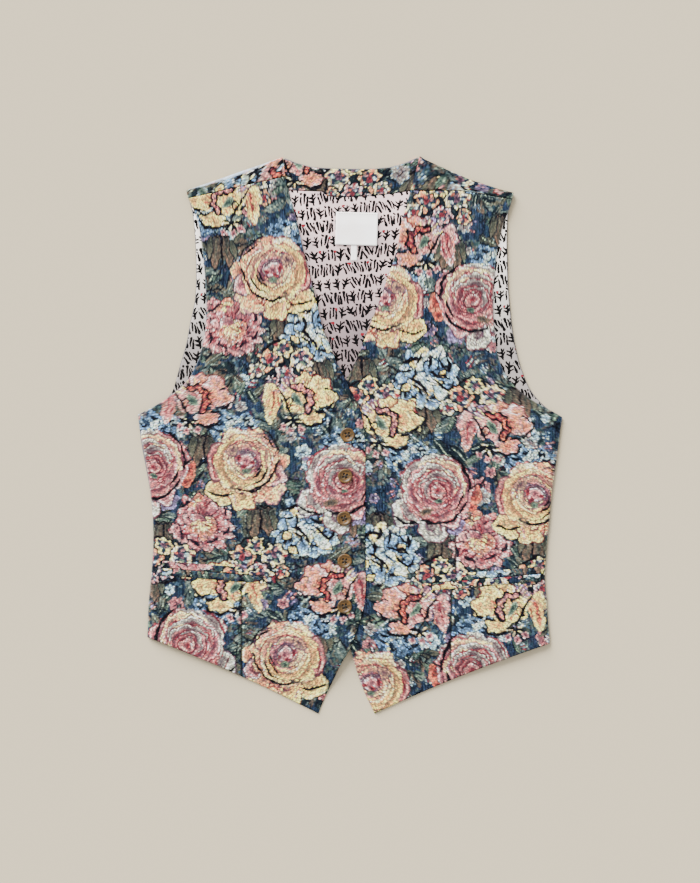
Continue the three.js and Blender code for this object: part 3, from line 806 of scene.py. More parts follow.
    def petal(self, x: float, y: float, angle: float, length: float, width: float, body: Colours,
              tip: Colours, streak: Colours | None = None, edge: Colours | None = None,
              blunt: float = 0.6) -> None:
        """A petal from its root outwards: streaked along it, with a coloured rim.

        Args:
            x, y: Its root.
            angle: Way it points, in degrees.
            length, width: Root to tip, and half its width.
            body, tip: Its yarns, and those of its rim.
            streak, edge: Yarns of its streaks and of an outline, or none.
            blunt: Below 1 it is widest towards its root, above 1 towards its tip.
        """
        c, s = heading(angle)
        t = ((self.u - x) * c + (self.v - y) * s) / length
        w = -(self.u - x) * s + (self.v - y) * c
        half = width * np.sin(math.pi * np.clip(t, 0, 1) ** blunt) ** 0.7 * (1 + 0.5 * self.wobble)
        inside = np.where((t > 0) & (t < 1), (half - np.abs(w)) / self.SOFT + 0.5, 0)
        if edge is not None:
            out = np.where((t > -0.05) & (t < 1.1), (half + 1.1 - np.abs(w)) / self.SOFT, 0)
            self.lay(out, tint(edge, self.fleck))
        value = 0.18 + 0.6 * t + 0.42 * (self.flow(w + 40, t * length, 1.3, 6.0) - 0.5)
        self.lay(inside, tint(body, value))
        if streak is not None:
            wave = np.sin(w / width * 7.0 + x * 3.1 + y * 1.7 + self.wobble * 3)
            cover = np.minimum(inside, smooth((wave - 0.35) / 0.3)) * smooth((0.9 - t) / 0.4)
            self.lay(cover, tint(streak, self.fleck))
        rim = np.maximum(np.abs(w) / np.maximum(half, 0.1), (t - 0.62) / 0.32)
        self.lay(np.minimum(inside, smooth((rim - 0.78) / 0.15)), tint(tip, 0.35 + 0.6 * self.fleck))


class YellowRose(Flower):
    """A full-blown yellow rose, its outer petals turned down below it."""

    REACH = 52.0

    def draw(self) -> None:
        """Outer petals, furled middle, red heart, then the black outlines."""
        self.blob(24, -22, 19, Y.BUTTER, 0.85, -20, 4, 0.08, 1.0, Y.INK)
        self.blob(-20, -22, 19, Y.PEACH[1:] + Y.BLUSH[2:3], 0.85, 30, 5, 0.08, 2.0, Y.MAUVE)
        self.blob(4, -31, 14, Y.BUTTER, 1.0, 0, 5, 0.12, 0.4, Y.CORAL[:1])
        self.blob(-34, 4, 9, Y.PEACH, 1.3, 20, 3, 0.1)
        self.blob(-31, -9, 9, Y.BLUSH, 1.1, 0, 4, 0.1, 0.0, Y.MAUVE)
        self.blob(1, 6, 34, Y.PEACH, 1.0, 0, 7, 0.04, 0.5, Y.ROSE[:1])
        self.blob(12, 26, 16, Y.CREAM, 0.8, -25, 5, 0.06, 0.0, Y.ROSE)
        self.blob(-18, 21, 13, Y.ROSE[1:] + Y.PEACH[2:], 0.8, 45, 3, 0.05, 0.0, Y.MAUVE)
        self.blob(29, 6, 11, Y.ROSE, 1.7, 10, 3, 0.05, 0.0, Y.ROSE[:1])
        self.furl(1, 4, 32, 5, (Y.BUTTER, Y.CREAM), ((178, 104, 104), (206, 148, 126)), 1.0, 0.4)
        inner = (Y.CREAM, Y.BLUSH, Y.CREAM, Y.MINT)
        self.furl(1, 6, 18, 6, inner, Y.CRIMSON[1:] + Y.MAUVE, 1.0, 0.3, 137.5, 60)
        shadow = ((150, 104, 112), (188, 150, 136), (216, 184, 152))
        self.blob(14, 17, 6.5, shadow, 0.8, -40, 3, 0.1, 0.0, Y.MAUVE[1:])
        self.blob(0, 6, 7.5, Y.BLUSH, 1.0, 0, 5, 0.05, 0.0, Y.MAUVE)
        self.arc(0, 5, 11.5, 20, 200, 1.3, Y.MAUVE)
        self.arc(2, 8, 19, 40, 140, 1.1, Y.CRIMSON)
        self.arc(-2, 4, 24, 100, 190, 1.1, Y.CORAL[:2])
        self.blob(-6, 4, 2.6, Y.CRIMSON, 0.8)
        self.blob(2.5, 1, 3.4, Y.CRIMSON, 0.7)
        self.blob(8, 8, 2.2, Y.CRIMSON, 1.6)
        self.blob(0, -4.0, 4.8, Y.GREEN[1:] + Y.OLIVE[2:], 0.7)
        self.arc(0, 4, 29, 195, 296, 2.5)
        self.arc(-2, 8, 33, 112, 166, 1.8)
        self.arc(1, 4, 23.5, 186, 250, 1.7)
        self.arc(1, 5, 18.5, 190, 248, 1.6)
        self.arc(0, 5, 14.5, 178, 232, 1.7)
        self.stroke(((14, -27), (24, -30), (33, -29), (41, -25)), 2.1)
        self.stroke(((-33, 8), (-30, 2), (-29, -6)), 2.0)
        self.stroke(((-16, 32), (-24, 27), (-30, 19)), 2.0)
        self.arc(-2, 2, 37, -22, 22, 1.6, Y.CRIMSON)
        self.stroke(((4, -21), (12, -23), (17, -20), (10, -19)), 2.0, Y.BUD)
        self.arc(6, -28, 15, 160, 215, 1.4, Y.ROSE)
        self.stroke(((14, -28), (12, -34), (10, -40)), 1.6, Y.BLUSH)
        self.stroke(((-22, -30), (-12, -27), (-4, -34)), 1.6, Y.CORAL)


class PinkRose(Flower):
    """A cabbage rose in pink and pale mint, with a coral bud beside it."""

    REACH = 50.0

    def draw(self) -> None:
        """Lower petals, many narrow furls, heart, then the outlines."""
        self.blob(36, -2, 7.5, Y.CORAL, 1.3, 20, 4, 0.12)
        self.blob(34, -14, 5.5, Y.CORAL, 1.0, 0, 4, 0.15)
        self.blob(18, -32, 9, Y.LILAC, 0.9, 0, 5, 0.12)
        self.blob(-24, -18, 16, Y.MINT, 0.85, 30, 4, 0.08, 0.0, Y.MAUVE)
        self.blob(-2, -32, 13, Y.MINT, 1.1, 10, 4, 0.1, 0.0, Y.ROSE[:1])
        self.blob(14, -26, 9, Y.BLUSH, 1.0, 0, 4, 0.1, 0.0, Y.MAUVE)
        self.stroke(((-34, -10), (-30, -22), (-20, -28)), 1.8, Y.ROSE)
        self.stroke(((-26, -8), (-22, -18), (-14, -26)), 1.4, Y.ROSE)
        self.stroke(((-8, -24), (-6, -33), (1, -40)), 1.6, Y.MAUVE)
        self.stroke(((2, -24), (4, -32), (6, -38)), 1.4, Y.ROSE)
        outer = (Y.BLUSH, Y.MINT, Y.ROSE, Y.CREAM, Y.BLUSH)
        self.furl(1, 3, 34, 11, outer, Y.CRIMSON + Y.ROSE[:2], 0.96, 0.45)
        self.furl(3, 1, 19, 8, (Y.MINT, Y.BLUSH, Y.ROSE), Y.CRIMSON[:2], 0.92, 0.3, 137.5, 100)
        self.blob(3, 0, 7, Y.ROSE, 0.85, -10, 5, 0.06, 0.0, Y.CRIMSON[:1])
        self.arc(3, 0, 4.5, 20, 300, 1.3, Y.BLUSH)
        self.blob(3, 0, 2.2, Y.CRIMSON)
        self.blob(4, -9, 3.2, Y.GREEN, 0.7)
        self.blob(-8, -19, 7, Y.BUD, 0.5, 10)
        self.arc(0, 4, 32.5, -10, 62, 2.5)
        self.arc(1, 2, 26, -48, -6, 1.9)
        self.arc(1, 1, 30, -76, -20, 1.8)
        self.arc(2, -2, 27.5, 238, 318, 2.3)
        self.arc(0, 4, 31, 110, 170, 1.2, Y.CRIMSON)
        self.stroke(((-38, -22), (-28, -29), (-15, -29)), 2.4)
        self.stroke(((30, 0), (35, 5), (39, 7)), 1.6)


class Peony(Flower):
    """A ragged double flower: a dome of curled petals over a spread skirt."""

    REACH = 36.0
    BODY: ClassVar[Colours] = Y.BLUSH
    TIP: ClassVar[Colours] = Y.ROSE
    STREAK: ClassVar[Colours] = Y.CRIMSON
    HEART: ClassVar[Colours] = Y.BUTTER + Y.PEACH
    DARK: ClassVar[Colours] = Y.INK + ((104, 40, 66),)
    COUNT: ClassVar[int] = 21
    LENGTH: ClassVar[float] = 15.0
    BREADTH: ClassVar[float] = 4.6
    SKIRT: ClassVar[tuple[tuple[float, float, float], ...]] = (
        # angle, length, half width
        (188, 27, 6), (208, 26, 8), (232, 24, 9), (258, 21, 9), (286, 23, 9), (314, 25, 8), (338, 27, 7),
        (356, 26, 6),
    )

    def draw(self) -> None:
        """Skirt, then small petals on a sunflower spiral, outermost first."""
        for angle, length, width in self.SKIRT:
            c, s = heading(angle)
            self.petal(4 * c, 3 * s - 1, angle, length, width, self.BODY, self.BODY + self.TIP,
                       self.STREAK, self.DARK, 1.1)
        self.blob(0, 6, 20, self.BODY, 0.85, 0, 9, 0.12)
        fills, rims = (self.BODY, self.BODY, self.HEART, self.TIP), (self.TIP, self.STREAK, self.BODY)
        for k in range(self.COUNT):
            out = math.sqrt(1 - k / self.COUNT)
            spin = GOLDEN * k
            x, y = 19 * out * math.cos(spin), 7 + 15 * out * math.sin(spin)
            lean = math.atan2(y - 2, x) + 0.7 * math.sin(5.1 * k)
            streak, dark = (self.STREAK, None) if k % 2 else (None, self.DARK)
            self.petal(x - 6 * math.cos(lean), y - 6 * math.sin(lean), math.degrees(lean), self.LENGTH,
                       self.BREADTH, fills[k % 4], rims[k % 3], streak, dark, 1.1)
        for angle, length in ((214, 15), (244, 14), (276, 15), (304, 16), (330, 15)):
            streak = self.STREAK if angle % 4 else None
            self.petal(0, 2, angle, length, 5.0, self.HEART, self.BODY, streak, None, 1.0)
        for x, y, angle in ((-19, -9, 280), (-8, -17, 330), (10, -15, 380), (22, -6, 420), (20, 12, 100),
                            (-16, 18, 210)):
            c, s = heading(angle)
            self.stroke(((x - 6 * c, y - 6 * s), (x + 1.2, y), (x + 6 * c, y + 6 * s)), 2.2, self.DARK)


class BluePeony(Peony):
    """The same flower in pale blues, with a frosty heart and ink outlines."""

    BODY = Y.SKY[1:]
    TIP = Y.FROST[1:]
    STREAK = Y.STEEL + Y.INK[1:]
    HEART = Y.FROST[1:] + Y.BUTTER[2:]
    DARK = Y.BLACK
    COUNT = 17
    LENGTH = 17.0
    BREADTH = 5.6
    LINES: ClassVar[tuple[Line, ...]] = (
        ((-14, 2), (-6, -2), (1, -9), (3, -14)), ((-12, -3), (-5, -7), (-2, -14)),
        ((2, 8), (10, 4), (17, 5), (22, 1)), ((-16, 16), (-10, 19), (-3, 17)),
        ((-9, 12), (-8, 5), (-10, 0)), ((4, 22), (5, 15), (3, 10)), ((8, 0), (15, -7), (22, -10)),
        ((-3, 24), (-4, 18), (-8, 14)), ((12, 18), (15, 12), (21, 11)), ((-22, 8), (-16, 7), (-11, 9)),
    )

    def draw(self) -> None:
        """The flower, then cream tips and long ink lines across its skirt."""
        super().draw()
        self.petal(6, -6, 322, 19, 5.0, Y.FROST[1:], Y.BUTTER[2:], None, self.DARK, 1.2)
        self.petal(-3, -8, 268, 17, 4.6, self.BODY, Y.FROST[2:], None, self.DARK, 1.2)
        for x, y in ((-17, -7), (-12, -19), (15, 6)):
            self.blob(x, y, 3.6, Y.BUTTER[1:], 0.8, 20, 4, 0.1, 0.0, self.DARK)
        for line in self.LINES:
            self.stroke(line, 2.1, self.DARK)


class Poppy(Flower):
    """A poppy seen from the side: ruffled petals, a green heart, stamens."""

    REACH = 42.0
    BODY: ClassVar[Colours] = Y.BUTTER
    SHADE: ClassVar[Colours] = Y.PEACH[2:3] + Y.BUTTER[1:]
    EYE: ClassVar[Colours] = Y.BLUSH[:3] + Y.PEACH[2:3]
    VEIN: ClassVar[Colours] = Y.CORAL[:3]

    def draw(self) -> None:
        """Trailing petal, ruffled cup, fringe, heart, and the black ruffles."""
        body, shade = self.BODY, self.SHADE
        self.blob(-25, 7, 9.5, shade, 1.0, 0, 4, 0.14, 0.0, Y.MAUVE)
        self.petal(-22, 12, 258, 33, 6.5, shade, body, self.VEIN, None, 0.9)
        self.blob(-9, 15, 11, Y.MAUVE + Y.LILAC[2:], 0.75, 30, 5, 0.12)
        self.blob(4, 19, 9.5, body, 0.75, 15, 6, 0.14, 0.0, Y.CORAL[:1])
        self.blob(18, 14, 10.5, body, 0.9, -30, 6, 0.12, 0.0, Y.CORAL[:1])
        self.blob(26, 3, 9.0, body, 0.9, 0, 5, 0.14, 0.0, Y.INK)
        self.blob(10, -15, 12, body, 0.55, 10, 6, 0.14, 0.0, Y.INK)
        self.blob(-3, 4, 15, shade, 0.9, 30, 6, 0.08)
        self.blob(13, 6, 12, body, 0.9, -30, 6, 0.10)
        for k in range(9):
            self.ray(165 - 13 * k, (-4, 5, 9, 8), (-6, 6, 19, 17), 1.4, (Y.BLUSH, Y.BUTTER)[k % 2][2:])
        for k in range(12):
            self.ray(30 * k, (4, 2, 9, 8), (4, 2, 15, 13), 1.0, self.VEIN)
        self.blob(-3, 2, 6.4, Y.GREEN, 0.45, -55, 3, 0.06, 0.0, Y.PALE_VEIN)
        turns = [(heading(112 - 20 * k), 12 + 1.3 * (-1) ** k) for k in range(9)]
        frill = tuple((-2 + r * c, 2 + r * s) for (c, s), r in turns)
        self.stroke(frill, 6.6, Y.BLACK, False)
        self.stroke(frill, 3.3, self.EYE, False)
        self.blob(-10, -1, 5.6, Y.BLACK, 0.62, 60)
        self.blob(-10, -1, 3.9, body, 0.55, 60)
        self.stroke(((13, -9), (20, -9), (27, -6), (33, 1)), 2.4)
        self.stroke(((-22, 14), (-15, 5), (-11, -5), (-6, -14)), 2.1)
        self.stroke(((-4, -14), (2, -20), (10, -23), (19, -21), (24, -15)), 2.3)
        self.stroke(((22, -6), (27, -11), (33, -15)), 1.4, Y.FROST)
        self.blob(-6, -17, 2.8, Y.INK, 0.9, 0, 5, 0.2)
        for k in range(11):
            colours = Y.BLACK if k % 3 else Y.CREAM[2:]
            self.ray(150 + 22 * k, (-6, -17, 2.4, 2.2), (-6, -17, 9, 8), 1.7, colours)
        for px, py in ((-15, -23), (-8, -27), (1, -26)):
            self.blob(px, py, 3.0, Y.BLUSH, 1.1, 0, 4, 0.2)


class PinkPoppy(Poppy):
    """The same flower in blush and coral."""

    BODY = Y.PEACH[:3] + Y.BLUSH[2:]
    SHADE = Y.ROSE + Y.BLUSH[2:]
    EYE = Y.CRIMSON + Y.CORAL[2:]
    VEIN = Y.CRIMSON


class Hydrangea(Flower):
    """A cloud of small pale blue florets with dark gaps between them."""

    REACH = 30.0
    COUNT: ClassVar[int] = 30

    def draw(self) -> None:
        """Dark cloud, petals in fours on a sunflower spiral, and black curls."""
        self.blob(0, 1, 19, ((28, 40, 66), (44, 68, 104), (70, 100, 134)), 0.72, 0, 7, 0.16)
        for k in range(self.COUNT):
            out, spin = math.sqrt((k + 0.5) / self.COUNT), GOLDEN * k
            x, z = 21 * out * math.cos(spin), 1 + 13.5 * out * math.sin(spin)
            fill = (Y.SKY, Y.FROST, Y.SKY, Y.STEEL + Y.SKY[1:], Y.SKY)[k % 5]
            for a in range(4):
                turn = 90 * a + 37 * k
                c, s = heading(turn)
                if (k + a) % 5:
                    self.blob(x + 2.1 * c, z + 2.1 * s, 1.9, fill, 0.7, turn, 3, 0.16)
            if k % 4 == 0:
                self.blob(x, z, 1.1, Y.BUTTER[2:] if k % 8 else Y.INK)
        for k in range(8):
            t = GOLDEN * (k + 3)
            x, z = 14 * math.cos(t), 1 + 9 * math.sin(t)
            self.stroke(((x - 3, z + 1.5), (x, z - 1.0), (x + 3.4, z + 0.6)), 1.8, Y.INK)


class Primroses(Flower):
    """A posy of small ringed flowers with red and blue eyes."""

    REACH = 30.0
    HEADS: ClassVar[tuple[tuple[float, float, float], ...]] = (
        # x, y, radius
        (12, 4, 9), (-11, 2, 9), (1, -8, 7), (-1, 11, 6.5), (-20, -5, 6), (17, -9, 5.5), (-9, -13, 4.5),
    )

    def draw(self) -> None:
        """Dark leaves, then each head: ragged ring, dark middle, bright dabs."""
        self.blob(-2, 0, 19, Y.DEEP + Y.SAGE[1:2], 0.8, 0, 7, 0.12)
        rings = (Y.CREAM, Y.PEACH, Y.BLUSH, Y.BUTTER)
        for k, (cx, cy, r) in enumerate(self.HEADS):
            self.blob(cx, cy, r, rings[k % 4], 0.92, 0, 7, 0.14, k, Y.INK)
            self.blob(cx, cy, r * 0.66, ((26, 40, 70), (50, 84, 100), (70, 64, 110)), 0.92, 0, 5, 0.2, k)
            for a in range(5):
                c, s = heading(72 * a + 31 * k)
                fill = (Y.FROST, Y.BLUSH, Y.CORAL[1:], Y.FROST, Y.GREEN[2:])[(a + k) % 5]
                self.blob(cx + 0.46 * r * c, cy + 0.44 * r * s, r * 0.17, fill, 0.8)
            self.blob(cx, cy, r * 0.27, Y.CRIMSON if k % 3 else Y.MAUVE)
            for a in range(3):
                near, far = (cx, cy, 0.75 * r, 0.75 * r), (cx, cy, 1.15 * r, 1.1 * r)
                self.ray(120 * a + 50 * k, near, far, 1.4, Y.INK if a else Y.CRIMSON)
        self.stroke(((-8, -16), (0, -17), (8, -15)), 2.0)
        self.stroke(((-16, 10), (-9, 15), (-2, 18)), 1.8)


class Tulip(Flower):
    """A closed bud of brown pointed petals."""

    REACH = 24.0

    def draw(self) -> None:
        """Two streaked petals, a leaf on each side, and dark seams."""
        self.petal(-4.2, 12, 266, 28, 5.0, Y.BUD, Y.BUD[1:], Y.OLIVE[1:], Y.INK, 0.75)
        self.petal(4.2, 12, 274, 27, 5.0, Y.BUD, Y.BUD[2:], Y.OLIVE[:2], Y.INK, 0.75)
        self.petal(-9, 10, 262, 18, 2.6, Y.OLIVE, Y.OLIVE, None, Y.INK, 0.8)
        self.petal(9, 9, 280, 18, 2.6, Y.OLIVE, Y.GREEN, None, Y.INK, 0.8)
        self.stroke(((0, 12), (0.3, 0), (0, -12)), 1.5)
        self.stroke(((-8, 13), (-4, 10), (0, 13), (4, 10), (8, 13)), 1.6)


class Leaf(Flower):
    """A pointed leaf with a pale vein and a dark underside."""

    REACH = 22.0

    def draw(self) -> None:
        """Blade, vein, and a dark line below."""
        fill = (Y.SAGE, Y.OLIVE, Y.GREEN, Y.DEEP)[int(self.place.turn) % 4]
        rim = Y.SAGE if self.place.turn % 2 > 1 else Y.OLIVE
        self.petal(-16, 0, 0, 32, 6.2, fill, rim, Y.DEEP, None, 0.9)
        self.stroke(((-15, 0), (0, 0.6), (16, 0)), 1.2, Y.PALE_VEIN)
        self.stroke(((-13, -4), (0, -6.2), (13, -3.4)), 1.7, Y.INK)


class Spray(Flower):
    """Narrow leaves that fan out from one stem."""

    REACH = 28.0

    def draw(self) -> None:
        """Seven leaves, each with a dark or a pale vein beside it."""
        fills = (Y.SAGE, Y.OLIVE, Y.GREEN, Y.DEEP, Y.BUD)
        for k, angle in enumerate((20, 52, 84, 118, 150, 0, 172)):
            fill = fills[(k + int(self.place.turn)) % 5]
            length = 23 - 0.10 * abs(angle - 84)
            self.petal(0, -10, angle, length, 3.8, fill, fill, Y.DEEP, None, 0.9)
            c, s = heading(angle - 10)
            self.stroke(((3 * c, -10 + 3 * s), (0.9 * length * c, -10 + 0.9 * length * s)), 1.4,
                        Y.INK if k % 2 else Y.PALE_VEIN)


class Puff(Flower):
    """A pale ragged puff of petals, small and without a heart."""

    REACH = 14.0

    def draw(self) -> None:
        """Six short petals and a dark fork below them."""
        pairs = ((Y.MINT, Y.SKY), (Y.LILAC, Y.BLUSH), (Y.FROST, Y.SKY), (Y.BLUSH, Y.ROSE))
        fill, rim = pairs[int(self.place.turn) % 4]
        self.stroke(((-9, -6), (-2, -8), (6, -7)), 1.8, Y.INK)
        for k in range(6):
            self.petal(0, 0, 30 + 60 * k, 9.5, 3.4, fill, rim, None, None, 1.1)
        self.stroke(((-4, 1), (0, -1), (4, 2)), 1.1, Y.INK)


class Bars(Flower):
    """A few short upright bars of bright yarn."""

    REACH = 13.0

    def draw(self) -> None:
        """Four bars side by side, in two colours."""
        pairs = ((Y.CRIMSON, Y.FROST), (Y.LILAC, Y.ROSE), (Y.FROST, Y.SKY), (Y.BUD, Y.SAGE))
        pair = pairs[int(self.place.turn) % 4]
        for k in range(4):
            x, shift = 4.8 - 3.2 * k, 2.5 * math.sin(2.1 * k + self.place.turn)
            self.stroke(((x, shift - 5), (x, shift + 4)), 1.7, pair[k % 2], False)


class Twig(Flower):
    """A dark forked twig."""

    REACH = 15.0

    def draw(self) -> None:
        """A stem and two forks."""
        self.stroke(((-10, -2), (-2, 1), (5, 0), (11, 3)), 2.0, Y.INK)
        self.stroke(((-2, 1), (2, 5), (5, 7)), 1.5, Y.INK)
        self.stroke(((2, 0), (7, -5)), 1.5, Y.INK)


class Motif(Enum):
    """What the cloth is woven with."""

    YELLOW_ROSE = YellowRose
    PINK_ROSE = PinkRose
    PINK_PEONY = Peony
    BLUE_PEONY = BluePeony
    YELLOW_POPPY = Poppy
    PINK_POPPY = PinkPoppy
    HYDRANGEA = Hydrangea
    PRIMROSES = Primroses
    TULIP = Tulip
    LEAF = Leaf
    SPRAY = Spray
    PUFF = Puff
    BARS = Bars
    TWIG = Twig


M = Motif
SCRAPS = (M.TWIG, M.BARS, M.PUFF, M.TWIG, M.LEAF, M.BARS)
THICKET = (M.SPRAY, M.LEAF, M.SPRAY, M.TWIG, M.LEAF, M.PUFF, M.SPRAY, M.TWIG, M.BARS, M.LEAF)


def each(groups: tuple[tuple, ...]) -> list[tuple]:
    """Every flower of a table by itself: motif, x, y, and a mark if it is turned over."""
    return [(kind, *spot) for kind, *spots in groups for spot in spots]


@dataclass(frozen=True)
class Bouquet:
    """Flowers at given places on a piece, or in the cloth's own repeat."""

    flowers: tuple[tuple, ...]
    seed: int
    tiled: bool = False
    shift: tuple[float, float] = (0.0, 0.0)
    accents: tuple[tuple, ...] = ()

    WIDTH: ClassVar[float] = 198.0
    HEIGHT: ClassVar[float] = 400.0
    SIZES: ClassVar[dict[Motif, float]] = {
        M.YELLOW_ROSE: 1.0, M.PINK_ROSE: 1.12, M.PINK_PEONY: 1.15, M.BLUE_PEONY: 1.2, M.YELLOW_POPPY: 1.12,
        M.PINK_POPPY: 1.12, M.HYDRANGEA: 1.25, M.PRIMROSES: 1.4, M.TULIP: 1.2, M.PUFF: 1.2, M.TWIG: 1.3,
        M.SPRAY: 1.0,
    }

    def paint(self, x: Array, y: Array) -> Canvas:
        """Weave the ground, the thicket and then the flowers.

        Args:
            x, y: Places on the flat cloth, in mm.

        Returns:
            The canvas, with a colour for each point.
        """
        canvas = Canvas(x + self.shift[0], y + self.shift[1], self.seed)
        canvas.ground()
        canvas.scatter(THICKET, 25.0, self.seed)
        canvas.scatter(THICKET, 31.0, self.seed + 1)
        canvas.scatter(SCRAPS, 17.0, self.seed + 2, 0.75)
        tiles = [(over, up) for over in range(-2, 3) for up in range(-1, 2)] if self.tiled else [(0, 0)]
        steps = [(over * self.WIDTH, up * self.HEIGHT) for over, up in tiles]
        for flowers, shifts in ((self.flowers, steps), (self.accents, [self.shift])):
            for kind, fx, fy, *hand in each(flowers):
                for across, up in shifts:
                    canvas.draw(kind, Place(fx + across, fy + up, 0.0, self.SIZES[kind], bool(hand)))
        canvas.weave()
        return canvas


MIRRORED = True
RIGHT_FLOWERS = (
    # motif, then for each its x and y in mm, and whether it is turned over; the ones below first
    (M.TULIP, (-68, 111), (-133, 192), (-92, -88), (-194, -104), (-3, -88), (-33, 66), (-151, -14),
     (-33, -213), (-210, -156)), (M.HYDRANGEA, (-62, 205), (-120, 5), (-140, -184), (-40, -198), (-5, -12),
     (-151, 222), (-198, 5)), (M.PINK_PEONY, (-123, 111), (-153, -92)), (M.BLUE_PEONY, (-37, 107),
     (-45, -96)), (M.PRIMROSES, (-68, 74), (-96, -130), (-192, -130), (-114, 258)), (M.YELLOW_POPPY,
     (-130, 239, MIRRORED)), (M.PINK_POPPY, (-160, 34)), (M.YELLOW_POPPY, (-52, 34)), (M.PINK_POPPY,
     (-16, -161, MIRRORED)), (M.YELLOW_POPPY, (-125, -161, MIRRORED)), (M.PINK_ROSE, (-208, -33), (-10, -49),
     (-166, -218, MIRRORED)), (M.YELLOW_ROSE, (-80, 165), (-107, -33, MIRRORED), (-66, -234)),
)
LEFT_FLOWERS = (
    (M.TULIP, (78, 21), (94, -120), (12, 66), (177, 36), (146, -161), (160, 215), (104, 190), (31, -95),
     (190, -115)), (M.HYDRANGEA, (52, 161), (146, 177), (62, -26), (187, -31), (52, -213), (135, -206),
     (120, 262)), (M.BLUE_PEONY, (78, 57), (36, -125)), (M.PINK_PEONY, (135, -110)), (M.PRIMROSES, (94, 239),
     (130, 36), (21, 36), (94, -150), (198, -150)), (M.YELLOW_POPPY, (36, 10)), (M.PINK_POPPY, (151, 5),
     (73, 198, MIRRORED), (64, -184, MIRRORED)), (M.YELLOW_POPPY, (166, -182, MIRRORED)), (M.PINK_ROSE,
     (130, 140, MIRRORED), (88, -59), (130, -244, MIRRORED)), (M.YELLOW_ROSE, (36, 135),
     (192, -68, MIRRORED), (21, -265)),
)
REPEAT = (
    # over one repeat of the cloth
    (M.TULIP, (140, 144), (116, -55), (14, -71), (57, 19)), (M.HYDRANGEA, (146, -238), (88, 38), (68, -151),
     (168, -165)), (M.PINK_PEONY, (85, 144)), (M.BLUE_PEONY, (171, 140)), (M.PINK_PEONY, (55, -59)),
    (M.BLUE_PEONY, (163, -63)), (M.PRIMROSES, (140, 107), (112, -97), (20, 110)), (M.PINK_POPPY, (48, 67)),
    (M.YELLOW_POPPY, (156, 67), (83, -128, MIRRORED)), (M.PINK_POPPY, (192, -128, MIRRORED)), (M.PINK_ROSE,
     (0, 0), (42, -185, MIRRORED)), (M.YELLOW_ROSE, (100, 0, MIRRORED), (142, -200)),
)


SHOULDER_ACCENTS = (
    # on the flat cloth of the back, past its folds
    (M.SPRAY, (-158, 264)), (M.BLUE_PEONY, (-126, 300)), (M.PINK_POPPY, (-92, 306)), (M.SPRAY, (102, 290)),
    (M.PUFF, (122, 292), (134, 288), (144, 282)), (M.SPRAY, (168, 262)),
)
FACING_FLOWERS = (
    # on the facing
    (M.TULIP, (-24, 262)), (M.TWIG, (38, 270)), (M.PINK_POPPY, (-52, 282)), (M.TULIP, (68, 258)),
    (M.PRIMROSES, (5, 262, MIRRORED)), (M.PUFF, (52, 272)),
)


